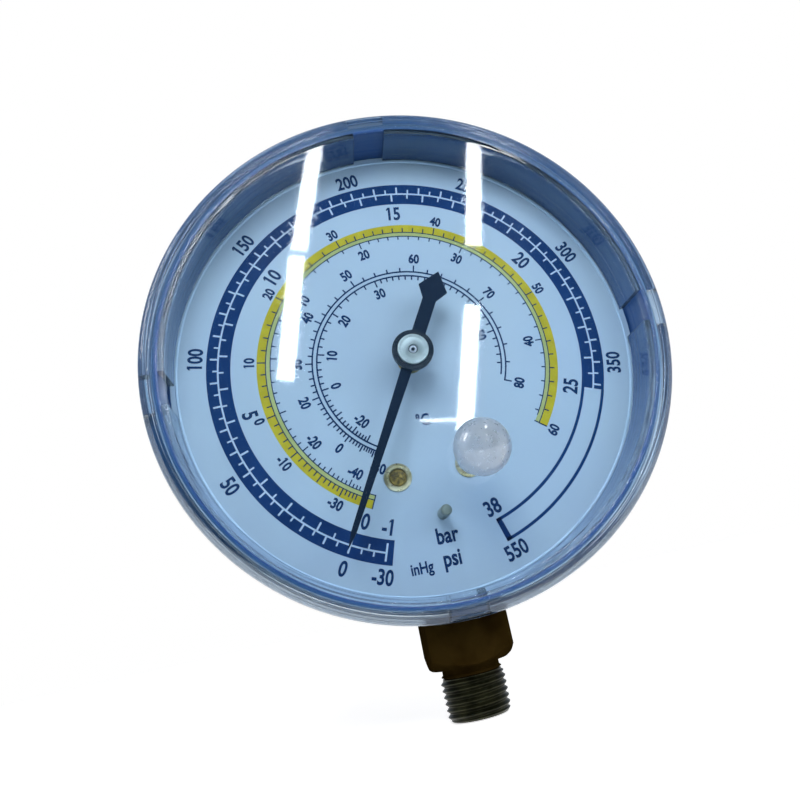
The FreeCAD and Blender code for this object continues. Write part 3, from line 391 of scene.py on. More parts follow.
def ring_group():
    """A mask, 0 in the middle of the dial and 1 beyond a radius, and fine rings by radius and level."""
    group, given, result = new_group(
        "round_the_dial", {"Inner": 0.037, "Outer": 0.039, "Ring Scale": 3000.0, "Streaks": 0.5},
        {"Rim": "NodeSocketFloat", "Rings": "NodeSocketFloat", "Rim Rings": "NodeSocketFloat"})
    place = node(group, "TexCoord")["Object"]
    shift = vector_maths(group, "SUBTRACT", place, (0, 0, MIDDLE))["Vector"]
    flat = vector_maths(group, "MULTIPLY", shift, (1, 0, 1))["Vector"]
    distance = vector_maths(group, "LENGTH", flat)["Value"]
    mask = mapped(group, distance, (given["Inner"], given["Outer"]), (0.0, 1.0), "SMOOTHSTEP")
    level_share = 0.7
    level = vector_maths(group, "DOT_PRODUCT", place, (0, level_share, 0))["Value"]
    lines = node(group, "TexNoise", noise_dimensions="1D", inputs={
        "W": maths(group, "ADD", distance, level), "Scale": given["Ring Scale"], "Detail": 3})["Fac"]
    streaks = maths(group, "MULTIPLY", lines, given["Streaks"])
    feed(group, result, {"Rim": mask, "Rings": streaks, "Rim Rings": maths(group, "MULTIPLY", streaks, mask)})
    return group


ROUND_DIAL = ring_group()


def tint_by_radius(material, rim_color, inner, outer, rim_rough):
    """Give a material another colour and gloss beyond a radius from the middle of the dial."""
    tree = material.node_tree
    principled = tree.nodes["Principled BSDF"]
    rim = node(tree, "Group", {"Inner": inner, "Outer": outer}, node_tree=ROUND_DIAL)["Rim"]
    color, rough = [principled.inputs[socket].links[0].from_socket for socket in ("Base Color", "Roughness")]
    tinted = node(tree, "Mix", {"Factor": rim, "A": color, "B": (*rim_color, 1)}, data_type="RGBA")
    dulled = node(tree, "Mix", {"Factor": rim, "A": rough, "B": rim_rough})
    feed(tree, principled, {"Base Color": tinted["Result"], "Roughness": dulled["Result"]})


def ring_finish(material, scale, depth, keep=1.0, rim=None):
    """Rings round the dial's middle added to a share of a material's relief; rim limits them to a radius."""
    tree = material.node_tree
    relief = [knot for knot in tree.nodes if knot.bl_idname == "ShaderNodeBump"][0]
    old = relief.inputs["Height"].links[0].from_socket
    limits = {"Inner": rim[0], "Outer": rim[1]} if rim else {}
    rings = node(tree, "Group", {"Ring Scale": scale, "Streaks": depth, **limits}, node_tree=ROUND_DIAL)
    total = maths(tree, "MULTIPLY_ADD", old, keep, rings["Rim Rings" if rim else "Rings"])
    feed(tree, relief, {"Height": total})


def let_light_through(material, shade):
    """Let shadow rays pass a clear material, so that what is behind it is lit."""
    tree = material.node_tree
    shadow = node(tree, "LightPath")["Is Shadow Ray"]
    clear = node(tree, "BsdfTransparent", {"Color": (*shade, 1)})["BSDF"]
    principled = tree.nodes["Principled BSDF"].outputs["BSDF"]
    choice = node(tree, "MixShader", {"Fac": shadow, 1: principled, 2: clear})
    feed(tree, tree.nodes["Material Output"], {"Surface": choice["Shader"]})


blue_enamel = finish("blue_enamel", (0.018, 0.066, 0.24), (0.023, 0.078, 0.27), (0.26, 0.30), bump=0.5,
                     Specular_IOR_Level=0.2, Coat_Weight=0.6, Coat_Roughness=0.08)
# Beyond about 39.1 mm from the dial's axis the enamel turns a lighter, greyer blue. This is a painted sheen
# on the rim's outside, flange and lugs, standing in for light scattered in the lens's skirt.
tint_by_radius(blue_enamel, (0.040, 0.095, 0.20), inner=0.0391, outer=0.0396, rim_rough=0.3)
ring_finish(blue_enamel, scale=900.0, depth=4.0, keep=0.02, rim=(0.0381, 0.0385))
clear_lens = finish("clear_lens", (0.80, 0.92, 1.0), (0.83, 0.95, 1.0), (0.03, 0.035), cloud=60, bump=0.7,
                    Transmission_Weight=1.0, IOR=1.49)
tint_by_radius(clear_lens, (0.68, 0.84, 0.97), inner=0.0374, outer=0.0388, rim_rough=0.10)
ring_finish(clear_lens, scale=1100.0, depth=4.0, keep=0.01, rim=(0.0376, 0.0388))
let_light_through(clear_lens, shade=(0.96, 0.97, 1.0))
clear_plug = finish("clear_plug", (0.54, 0.62, 0.70), (0.66, 0.74, 0.82), (0.22, 0.36), cloud=350, bump=0.22,
                    Transmission_Weight=0.8, IOR=1.45, Coat_Weight=1.0, Coat_Roughness=0.03)
let_light_through(clear_plug, shade=(0.62, 0.67, 0.76))
dial_white = finish("dial_white", (0.37, 0.47, 0.57), (0.40, 0.51, 0.62), (0.4, 0.5), cloud=25, bump=0.02)
ink_navy = finish("ink_navy", (0.003, 0.024, 0.100), (0.006, 0.034, 0.130), (0.5, 0.6), cloud=200, bump=0.03,
                  Specular_IOR_Level=0.15)
ink_black = finish("ink_black", (0.003, 0.019, 0.074), (0.005, 0.025, 0.096), (0.5, 0.6), bump=0.03,
                   Specular_IOR_Level=0.15)
ink_yellow = finish("ink_yellow", (0.42, 0.35, 0.006), (0.50, 0.42, 0.014), (0.5, 0.6), cloud=400,
                    bump=0.03, Specular_IOR_Level=0.25)
ink_pale = finish("ink_pale", (0.34, 0.39, 0.12), (0.40, 0.45, 0.17), (0.4, 0.5), cloud=200, bump=0.03)
ink_white = finish("ink_white", (0.42, 0.54, 0.68), (0.46, 0.58, 0.72), (0.4, 0.5), cloud=200, bump=0.03)
pointer_black = finish("pointer_black", (0.003, 0.008, 0.020), (0.005, 0.011, 0.026), (0.5, 0.65), bump=0.05,
                       Specular_IOR_Level=0.15)
boss_black = finish("boss_black", (0.003, 0.006, 0.010), (0.005, 0.009, 0.015), (0.25, 0.35), bump=0.05,
                    Specular_IOR_Level=0.25)
sunk_brass = finish("sunk_brass", (0.05, 0.034, 0.004), (0.42, 0.30, 0.06), (0.3, 0.5), cloud=1800, bump=0.3,
                    Metallic=0.2)
pale_brass = finish("pale_brass", (0.44, 0.38, 0.18), (0.74, 0.68, 0.46), (0.22, 0.36), cloud=600, bump=0.15,
                    Metallic=0.7)
# Paler than the dial, so that the bead shows as a bright line also in shade: a painted highlight.
painted_highlight_bead = finish("painted_highlight_bead", (0.52, 0.68, 0.84), (0.58, 0.74, 0.90), (0.2, 0.3), cloud=300, bump=0.05,
                     Metallic=0.2)
dull_pin = finish("dull_pin", (0.24, 0.28, 0.24), (0.34, 0.38, 0.32), (0.3, 0.45), cloud=500, bump=0.1,
                  Metallic=0.5)
turned_alloy = finish("turned_alloy", (0.40, 0.47, 0.46), (0.58, 0.65, 0.64), (0.28, 0.42), cloud=500,
                      bump=0.12, Metallic=0.6)
ring_finish(turned_alloy, scale=9000.0, depth=0.5)
bright_brass = finish("bright_brass", (0.42, 0.30, 0.08), (0.60, 0.46, 0.17), (0.25, 0.4), cloud=500,
                      bump=0.12, Metallic=1.0)
dark_brass = finish("dark_brass", (0.018, 0.010, 0.002), (0.030, 0.018, 0.004), (0.6, 0.75), cloud=260,
                    bump=0.2, Specular_IOR_Level=0.0)
thread_brass = finish("thread_brass", (0.010, 0.011, 0.004), (0.035, 0.036, 0.016), (0.3, 0.5), cloud=500,
                      bump=0.3, Metallic=0.8)
bronze = finish("bronze", (0.36, 0.20, 0.09), (0.50, 0.30, 0.15), (0.28, 0.42), bump=0.15, Metallic=1.0)
zinc_steel = finish("zinc_steel", (0.46, 0.47, 0.50), (0.58, 0.60, 0.63), (0.28, 0.42), cloud=400,
                    bump=0.12, Metallic=1.0)


# The dial and its print

MAIN_INNER, MAIN_OUTER = 29.35, 33.2
MAIN_START, MAIN_END = 16.3, 289.3
ZONE_END = 344.0
MAIN_LINE = 31.35
MAIN_MARKS = (29.9, 32.65)
EDGE_BEAD = 37.9
VACUUM_END = -30 * PER_INHG + ZERO
OUTER_FIGURES, INNER_FIGURES = 35.0, 27.45


def main_scale():
    """The dark band with its white marks, the open end zone and the figures on both sides."""
    dark = [arc_band(MAIN_INNER, MAIN_OUTER, MAIN_START, MAIN_END),
            arc_band(MAIN_OUTER - 0.45, MAIN_OUTER + 0.05, MAIN_END, ZONE_END),
            arc_band(MAIN_INNER, MAIN_INNER + 0.5, MAIN_END, ZONE_END),
            arc_band(MAIN_INNER, MAIN_OUTER, ZONE_END - 1.6, ZONE_END, step=0.4)]
    mesh_piece("main_band", *joined(dark), ink_navy, "gauge", "dial")

    psi_tens = ZERO + PER_PSI * np.arange(0, 361, 10)
    psi_fives = ZERO + PER_PSI * np.arange(5, 360, 10)
    bars = ZERO + PER_BAR * np.arange(0, 26)
    half_bars = ZERO + PER_BAR * np.arange(-0.5, 25)
    vacuum = ZERO + PER_INHG * np.array([-20, -10])
    inner_mark, outer_mark = MAIN_MARKS
    half_line, thick, thin = 0.14, 0.3, 0.26
    white = [arc_band(MAIN_LINE - half_line, MAIN_LINE + half_line, VACUUM_END, MAIN_END, INK_OVER),
             strokes(psi_tens, MAIN_LINE, outer_mark, thick, INK_OVER),
             strokes(psi_fives, MAIN_LINE, outer_mark - 0.45, thin, INK_OVER),
             strokes(vacuum, MAIN_LINE, outer_mark - 0.45, thin, INK_OVER),
             strokes(bars, inner_mark, MAIN_LINE, thick, INK_OVER),
             strokes(half_bars, inner_mark + 0.55, MAIN_LINE, thin, INK_OVER),
             strokes(VACUUM_END, inner_mark, outer_mark, thick, INK_OVER)]
    mesh_piece("main_marks", *joined(white), ink_white, "gauge", "dial")

    large, larger = 2.3, 2.4
    figures = [ring_label(str(psi), large, ZERO + PER_PSI * psi, OUTER_FIGURES) for psi in range(0, 351, 50)]
    figures += [ring_label(str(reading), larger, ZERO + PER_BAR * reading, INNER_FIGURES)
                for reading in range(5, 26, 5)]
    # These stand beside their mark instead of over it
    beside_end = ZONE_END - 1.0
    figures += [ring_label("-30", large, 18.5, OUTER_FIGURES), ring_label("-1", larger, 19.0, INNER_FIGURES),
                ring_label("0", larger, 26.4, INNER_FIGURES - 0.15),
                ring_label("550", large, beside_end, OUTER_FIGURES),
                ring_label("38", larger, beside_end, INNER_FIGURES)]
    figures += [label("bar", 2.4, 0.0, -29.0), label("psi", 2.4, 0.0, -33.0),
                label("inHg", 1.7, -4.9, -33.4), label("°C", 1.9, 0.0, -10.2)]
    mesh_piece("main_figures", *joined(figures), ink_black, "gauge", "dial")


def fine_scale(angle, values, base, side, mark, long_mark, width, fine_from=None):
    """Marks of a temperature scale on one side of its line, long at each ten."""
    every = np.arange(values[0], values[1] + 0.5, 2.0)
    if fine_from is not None:
        every = np.union1d(every, np.arange(fine_from, values[1] + 0.5, 1.0))
    tens = every[every % 10 == 0]
    others = every[every % 10 != 0]
    shapes = []
    for some, length in ((tens, long_mark), (others, mark)):
        ends = sorted((base, base + side * length))
        shapes.append(strokes(angle(some), ends[0], ends[1], width))
    return shapes


def temperature_scales():
    """The yellow ring and the plain double ring, each with a scale outside and one inside."""
    yellow_outside = boiling(10.12, 2161.1, 257.84)
    yellow_inside = boiling(10.42, 2170.9, 260.06)
    plain_outside = boiling(10.54, 2514.1, 265.69)
    plain_inside = boiling(9.275, 1705.1, 227.94)
    ring_start, ring_end = 25.3, 307.2
    ring_outer, ring_inner = 25.2, 22.9
    yellow_line, pale_line, plain_line, inmost_line = 23.75, 23.0, 16.2, 15.45
    mesh_piece("yellow_ring", *arc_band(23.78, ring_outer, ring_start, ring_end), ink_yellow, "gauge", "dial")
    mesh_piece("pale_ring", *arc_band(23.03, 23.72, ring_start, ring_end), ink_pale, "gauge", "dial")

    # Middle radius, half width, start and end of each line
    lines = [arc_band(middle - half, middle + half, start, end, INK_OVER) for middle, half, start, end in (
        (yellow_line, 0.08, ring_start, ring_end), (pale_line, 0.08, ring_start, 304.5),
        (plain_line, 0.13, 26.8, 292.7), (inmost_line, 0.13, 26.8, 289.1))]
    marks = [strokes([ring_start, ring_end], ring_inner, ring_outer, 0.18, INK_OVER)]
    marks += fine_scale(yellow_outside, (-38, 60), yellow_line, 1, 0.85, 1.35, 0.2, fine_from=30)
    marks += fine_scale(yellow_inside, (-46, 45), pale_line, -1, 0.65, 1.1, 0.2, fine_from=20)
    marks += fine_scale(plain_outside, (-30, 80), plain_line, 1, 0.75, 1.2, 0.24)
    marks += fine_scale(plain_inside, (-30, 54), inmost_line, -1, 0.75, 1.2, 0.24, fine_from=30)
    marks = [(np.where(points[:, 1:2] > 0, points * [1, 0, 1] + [0, INK_OVER, 0], points), faces)
             for points, faces in marks]
    mesh_piece("ring_lines", *joined(lines + marks), ink_black, "gauge", "dial")

    figures = [ring_label(str(t), 1.6, float(scale(t)), radius, narrow=0.80, weight=0.04)
               for scale, radius, readings in (
                   (yellow_outside, 26.4, (-30, -10, 0, 10, 20, 30, 40, 50, 60)),
                   (yellow_inside, 20.7, (-40, -20, 0, 10, 20, 30, 40)),
                   (plain_outside, 18.7, (-30, 0, 20, 30, 40, 50, 60, 70, 80)),
                   (plain_inside, 13.0, (-20, 0, 10, 20, 30, 50))) for t in readings]
    mesh_piece("ring_figures", *joined(figures), ink_black, "gauge", "dial")


def edge_bead():
    """A half-round bead pressed into the dial just inside the lens's rib, coloured paler than the dial: a
    painted highlight line at the dial's edge.
    """
    size = 0.2
    outline = [(EDGE_BEAD + size, -INK)] + rounding((EDGE_BEAD, 0.0), size, 90, -90, 9)
    outline += [(EDGE_BEAD - size, -INK)]
    mesh_piece("edge_bead", *turned(outline, 256), painted_highlight_bead, "gauge", "dial")


main_scale()
temperature_scales()
edge_bead()


# The parts that are shaped anew: plug, eyelets, screws, cap, lens and case

QUARTERS = (0, 90, 180, 270)
SCREW_CIRCLE = 19.6
SCREW_ANGLE = 17.4
PLUG_NECK = 3.15
PLUG_WALL = 0.8
PLUG_COLLAR = 3.6
PLUG_BORE_DEPTH = 2.4
PLUG_BORE_ROUND = 1.2


def plug_shape():
    """A ball on a short collar, with a round-ended bore up through its skirt."""
    x, up, radius, back, top = measures("lens_plug")
    front = measures("lens")[4]
    inner = PLUG_NECK - PLUG_WALL
    bevel = 0.12
    under = 180 - math.degrees(math.asin(PLUG_COLLAR / radius))
    bore_end = front + PLUG_BORE_DEPTH
    outline = rounding((0.0, top - radius), radius, 0, under, 40)
    outline += [(PLUG_COLLAR, front + bevel), (PLUG_COLLAR - bevel, front), (PLUG_NECK, front)]
    outline += [(PLUG_NECK, back), (inner, back)]
    outline += rounding((inner - PLUG_BORE_ROUND, bore_end - PLUG_BORE_ROUND), PLUG_BORE_ROUND, 90, 0, 8)
    outline += [(0.0, bore_end)]
    piece = mesh_piece("plug_cap", *turned(outline, 96, (x, up)), clear_plug, "plug", "lens_plug")
    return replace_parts(piece, "lens_plug")


def eyelets():
    """Two rolled brass rings in the dial: a rounded flange that runs down into the bore."""
    flange, bore, tube, height, back = 2.25, 1.4, 1.75, 0.35, -0.6
    lip, roll = 0.12, 0.34
    outline = [(bore, back), (tube, back), (tube, 0.0), (flange, 0.0)]
    outline += rounding((flange - lip, lip), lip, 90, 30, 4)
    outline += rounding((bore + roll, height - roll), roll, 25, -90, 9)
    shapes = [turned(outline, 64, around(side * SCREW_ANGLE, SCREW_CIRCLE)) for side in (1, -1)]
    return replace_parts(mesh_piece("eyelets", *joined(shapes), pale_brass, "gauge", "dial_eyelets", 40),
                       "dial_eyelets")


def recessed_head(name, node, body, slot_turn):
    """A domed round head with a cross sunk into it, on its shank."""
    x, up, radius, back, front = measures(node)
    head, shank, edge = 0.7, 0.8, 0.12
    outline = [(0.0, front), (radius * 0.5, front - 0.03), (radius - 0.2, front - 0.1)]
    outline += rounding((radius - edge, front - 2 * edge), edge, 10, 90, 4)
    outline += [(radius, front - head), (shank, front - head), (shank, back), (0.0, back)]
    long, wide, deep = radius - 0.35, 0.13, 0.3
    arm = [(long, 0.0, -wide), (long, 0.0, wide), (wide, 0.0, wide)]
    cross = np.concatenate([spun(arm, slot_turn + quarter, x, up) for quarter in QUARTERS])
    points = np.concatenate([cross + [0, level, 0] for level in (front - deep, front + 1)])
    mesh = carved(name, turned(outline, 64, (x, up)), (points, prism_faces(2, len(cross))))
    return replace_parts(dress(mesh, name, sunk_brass, body, 35), node)


def slotted_screws():
    """Two pan heads on the back of the case, each with a straight slot, on their shanks."""
    x, up, half, back, front = measures("case_screws")
    head, shank, tall, edge = 2.4, 1.2, 1.3, 0.4
    slot_deep, slot_half = 0.6, 0.3
    outline = [(0.0, back), (head - 2 * edge, back)]
    outline += rounding((head - edge, back + edge), edge, 180, 90, 6)
    outline += [(head, back + tall), (shank, back + tall), (shank, front), (0.0, front)]
    solids, slots = [], []
    for side, slot_turn in ((-1, 25), (1, -40)):
        middle = x + side * (half - head)
        solids.append(turned(outline, 48, (middle, up)))
        corners, faces = bar(-head - 1, head + 1, back - 1, back + slot_deep, -slot_half, slot_half)
        slots.append((spun(corners, slot_turn, middle, up), faces))
    mesh = carved("slotted_screws", joined(solids), joined(slots))
    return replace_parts(dress(mesh, "slotted_screws", zinc_steel, "gauge", 35), "case_screws")


def turned_cap():
    """The bright disc on the boss: a rounded edge, a dished rim and the hole that the arbor fills."""
    x, up, radius, back, front = measures("pointer_cap")
    hole, edge, lip, dish = 0.75, 0.16, 0.2, 0.06
    outline = rounding((radius - edge, front - edge), edge, 90, 0, 6)
    outline += [(radius - 0.45, front - dish / 2), (radius - 0.5, front - dish), (hole + 0.35, front - dish)]
    outline += rounding((hole + lip, front - 0.18), lip, 0, -90, 5)
    outline += [(hole, back), (radius, back)]
    centre, dot = measures("pinion_arbor")[4], 0.3
    stud = [(0.0, centre + 0.02), (dot, centre + 0.02), (dot, centre - 0.05), (0.0, centre - 0.05)]
    mesh_piece("arbor_centre", *turned(stud, 24, (x, up)), boss_black, "pointer_assembly", "pinion_arbor")
    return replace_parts(mesh_piece("turned_cap", *turned(outline, 96, (x, up)), turned_alloy,
                                  "pointer_assembly", "pointer_cap", 30), "pointer_cap")


def spring_collet():
    """The hairspring's collet, a hair smaller than the spring's first turn so that it turns clear of it."""
    x, up, radius, back, front = measures("hairspring_collet")
    bore, edge = 0.9, radius - 0.06
    outline = [(bore, back), (edge, back), (edge, front), (bore, front)]
    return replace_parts(mesh_piece("spring_collet", *turned(outline, 64, (x, up)), bright_brass,
                                  "pointer_assembly", "hairspring_collet"), "hairspring_collet")


CASE_RADIUS = 37.8
CASE_WALL = 0.7
CASE_CORNER = 3.0
LENS_RADIUS = measures("lens")[2]
LENS_WALL = 1.8
LENS_ROUND = 1.5
SKIRT_WALL = 1.75
SKIRT_BACK = 2.2
SKIRT_BORE = LENS_RADIUS - SKIRT_WALL
RIM_RADIUS = SKIRT_BORE - 0.15
RIM_FRONT = 8.3
RIM_BORE = RIM_RADIUS - CASE_WALL
RIB_OUTER = RIM_BORE - 0.1
RIB_INNER = RIB_OUTER - 1.0
FLANGE_RADIUS = LENS_RADIUS - 0.4
FLANGE_FRONT = SKIRT_BACK - 0.2
LUG_BACK, LUG_FRONT = 3.2, 5.2
FLAT_RING = 30.0


def lens_cover():
    """A flat window with a rounded shoulder, a skirt outside the rim and a rib inside it."""
    x, up, radius, back, front = measures("lens")
    inside = front - LENS_WALL
    small = 0.25
    outline = [(0.0, front), (FLAT_RING, front), (radius - LENS_ROUND - 0.4, front)]
    outline += rounding((radius - LENS_ROUND, front - LENS_ROUND), LENS_ROUND, 0, 90, 10)
    outline += [(radius, front - LENS_ROUND - 0.3), (radius, SKIRT_BACK + small + 0.1)]
    outline += rounding((radius - small, SKIRT_BACK + small), small, 90, 180, 4)
    outline += rounding((SKIRT_BORE + small, SKIRT_BACK + small), small, 180, 270, 4)
    outline += [(SKIRT_BORE, SKIRT_BACK + small + 0.1), (SKIRT_BORE, inside), (RIB_OUTER, inside)]
    outline += rounding((RIB_OUTER - small, back + small), small, 90, 180, 4)
    outline += rounding((RIB_INNER + small, back + small), small, 180, 270, 4)
    outline += [(RIB_INNER, back + small + 0.1), (RIB_INNER, inside), (RIB_INNER - 0.4, inside)]
    outline += [(FLAT_RING, inside), (0.0, inside)]
    cuts = []
    window, gap, rib_gap = 4.27, 0.35, 3.91
    for quarter in QUARTERS:
        cuts.append(wedge(RIM_RADIUS, radius + 1, quarter - window, quarter + window, LUG_BACK - gap,
                          LUG_FRONT + gap))
        cuts.append(wedge(RIB_INNER - 0.9, SKIRT_BORE - 0.15, quarter - rib_gap, quarter + rib_gap, back - 1,
                          inside))
    hole = 3.2
    cuts.append(turned([(0.0, front + 1), (hole, front + 1), (hole, inside - 1), (0.0, inside - 1)], 64,
                       measures("lens_plug")[:2]))
    notch, notch_deep, notch_reach = 9.3, 1.4, 0.9
    cuts.append(turned([(0.0, front + 1), (notch, front + 1), (notch, front - notch_deep),
                        (0.0, front - notch_deep)], 96, (0.0, -(radius - notch_reach + notch))))
    mesh = carved("lens_cover", turned(outline, 192), joined(cuts))
    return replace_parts(dress(mesh, "lens_cover", clear_lens, "gauge", 24), "lens")


def case_cup():
    """A deep drawn cup with a step for the dial and a wider rim with a flange and a fine burr."""
    depth = measures("case")[3]
    floor_inside = depth + CASE_WALL
    edge = CASE_WALL / 2
    inner_corner = CASE_CORNER - CASE_WALL
    inner = CASE_RADIUS - CASE_WALL
    step = measures("dial")[3]
    step_back = step - CASE_WALL
    step_round, burr, ease = 0.5, 0.1, 0.4
    flange_back = FLANGE_FRONT - CASE_WALL
    outline = [(0.0, depth), (FLAT_RING, depth), (CASE_RADIUS - CASE_CORNER - ease, depth)]
    outline += rounding((CASE_RADIUS - CASE_CORNER, depth + CASE_CORNER), CASE_CORNER, 180, 90, 10)
    outline += [(CASE_RADIUS, depth + CASE_CORNER + ease), (CASE_RADIUS, step_back - 0.3)]
    outline += [(CASE_RADIUS + 0.3, step_back), (RIM_RADIUS - step_round, step_back)]
    outline += rounding((RIM_RADIUS - step_round, step_back + step_round), step_round, 180, 90, 5)
    outline += [(RIM_RADIUS, step + 0.5), (RIM_RADIUS, flange_back), (FLANGE_RADIUS - edge, flange_back)]
    outline += rounding((FLANGE_RADIUS - edge, FLANGE_FRONT - edge), edge, 180, 0, 9)
    outline += [(RIM_RADIUS, FLANGE_FRONT), (RIM_RADIUS, RIM_FRONT - edge - 0.2)]
    outline += rounding((RIM_RADIUS - burr, RIM_FRONT - burr), burr, 90, 0, 4)
    outline += rounding((RIM_BORE + burr, RIM_FRONT - burr), burr, 0, -90, 4)
    outline += [(RIM_BORE, RIM_FRONT - edge - 0.2), (RIM_BORE, step), (inner, step)]
    outline += [(inner, floor_inside + inner_corner + ease)]
    outline += rounding((inner - inner_corner, floor_inside + inner_corner), inner_corner, 90, 180, 8)
    outline += [(FLAT_RING, floor_inside), (0.0, floor_inside)]
    stem_gap = 6.45
    stem_level = FACE / MM
    gap = bar(-stem_gap, stem_gap, stem_level - stem_gap, stem_level + stem_gap, -60.0, -20.0)
    mesh = carved("case_cup", turned(outline, 192), gap)
    case_lugs()
    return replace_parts(dress(mesh, "case_cup", blue_enamel, "gauge", 28), "case")


def case_lugs():
    """Four ramped lugs on the rim, one in each window of the lens's skirt."""
    root = RIM_RADIUS - CASE_WALL / 2
    tip = RIM_RADIUS + 1.3
    radii = np.array([root, tip, tip, RIM_RADIUS + 0.3, root])
    levels = np.array([LUG_BACK, LUG_BACK, LUG_BACK + 0.2, LUG_FRONT, LUG_FRONT])
    half_angle, rows = 3.76, 9
    shapes = []
    for quarter in QUARTERS:
        x, up = around(np.linspace(quarter - half_angle, quarter + half_angle, rows)[:, None], radii)
        points = np.stack([x, np.broadcast_to(levels, x.shape), up], -1).reshape(-1, 3)
        shapes.append((points, prism_faces(rows, len(radii))))
    mesh_piece("case_lugs", *joined(shapes), blue_enamel, "gauge", "case", 30)


plug_shape()
spring_collet()
eyelets()
recessed_head("dial_screw_head", "dial_screw", "gauge", 62)
recessed_head("setting_screw_head", "calibration_screw", "setting_screw", 20)
slotted_screws()
turned_cap()
lens_cover()
case_cup()


# The stem

PITCH = 25.4 / 27
THREAD_DEPTH = 0.42
THREAD_OUTER = 5.1
TAPER = 1 / 32


def stem_block():
    """The block keeps its own mesh; its stem below the origin is made thinner than the thread's root."""
    mesh = cad["socket"].data.copy()
    places = np.empty(len(mesh.vertices) * 3)
    mesh.vertices.foreach_get("co", places)
    places = places.reshape(-1, 3)
    across = np.hypot(places[:, 0], places[:, 1])
    thinned = 0.0041
    thin = (places[:, 2] < 0.0001) & (across > thinned + 0.0001)
    places[:, :2] *= np.where(thin, thinned / np.maximum(across, 1e-6), 1.0)[:, None]
    mesh.vertices.foreach_set("co", places.ravel())
    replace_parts(dress(mesh, "stem_block", dark_brass, "gauge", 35, merge=1e-6), "socket")


def stem_thread():
    """The turns as a sleeve: radius = taper - depth * (1 - ridge), where ridge is a flattened triangle
    wave of height / pitch + turn, held under a chamfer at the end and run out under the block."""
    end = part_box("socket")[0].z / MM
    rows, steps = 150, 120
    height = np.linspace(end, 0.0, rows)[:, None]
    turn = np.linspace(0, 2 * math.pi, steps, endpoint=False)[None, :]
    wave = np.abs(((height / PITCH + turn / (2 * math.pi)) % 1.0) * 2 - 1)
    flat_share = 0.1
    ridge = np.clip((wave - flat_share) / (1 - 2 * flat_share), 0, 1)
    root = THREAD_OUTER - THREAD_DEPTH - 0.05
    radius = THREAD_OUTER + height * TAPER - THREAD_DEPTH * (1 - ridge)
    end_chamfer = 0.75
    chamfer = THREAD_OUTER - end_chamfer + (height - end)
    runout_start, runout_slope = -0.15, 1.4
    runout = root + np.maximum(0, runout_start - height) * runout_slope
    radius = np.minimum(np.minimum(radius, chamfer), runout)
    level = np.broadcast_to(height, radius.shape)
    sleeve = np.stack([radius * np.sin(turn), radius * np.cos(turn), level], -1)
    bore = 3.9
    inside = np.stack([bore * np.sin(turn[0]), bore * np.cos(turn[0]), np.zeros(steps)], -1)
    points = np.concatenate([inside[None] + [0, 0, end], sleeve, inside[None]]).reshape(-1, 3)
    in_dial = np.stack([points[:, 0], FACE / MM - points[:, 1], points[:, 2] - MIDDLE / MM], -1)
    mesh_piece("stem_thread", in_dial, grid_faces(rows + 2, steps, True, True), thread_brass, "gauge",
               "socket", 50)


stem_block()
stem_thread()


# Materials of the pieces that keep their own shape

KEPT = {
    dial_white: ["dial"],
    pointer_black: ["pointer"],
    boss_black: ["pointer_hub"],
    dull_pin: ["stop_pin"],
    bright_brass: ["dial_posts", "front_plate", "rear_plate", "plate_pillars", "sector_gear", "link",
                   "tube_tip", "hairspring_stud", "restrictor_screw"],
    bronze: ["bourdon_tube", "hairspring"],
    zinc_steel: ["plate_screws", "sector_arbor", "pinion_arbor", "tail_pin", "tip_pin", "retard_spring",
                 "retard_screw", "movement_screws"],
}
for material, names in KEPT.items():
    for name in names:
        cad[name].data.materials.clear()
        cad[name].data.materials.append(material)


# Floor, light and camera


def seen_directly(tree):
    """1 where the camera, a mirror or clear glass looks, 0 for the light that the studio gives."""
    path = node(tree, "LightPath")
    either = maths(tree, "MAXIMUM", path["Is Camera Ray"], path["Is Glossy Ray"])
    return maths(tree, "MAXIMUM", either, path["Is Transmission Ray"])


def floor():
    """A white floor under the stem, lifted to plain white where it is looked at."""
    paint = bpy.data.materials.new("floor_white")
    paint.use_nodes = True
    tree = paint.node_tree
    lift = 0.76
    feed(tree, tree.nodes["Principled BSDF"], {
        "Base Color": (0.8, 0.8, 0.8, 1), "Roughness": 0.9, "Emission Color": (1, 1, 1, 1),
        "Emission Strength": maths(tree, "MULTIPLY", seen_directly(tree), lift)})
    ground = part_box("socket")[0].z - 0.0002
    reach = 1.6
    near_edge = -0.12
    mesh = bpy.data.meshes.new("studio_floor")
    mesh.from_pydata([(-reach, near_edge, ground), (reach, near_edge, ground), (reach, reach, ground),
                      (-reach, reach, ground)], [], [(0, 1, 2, 3)])
    mesh.materials.append(paint)
    in_scene("studio_floor", mesh)


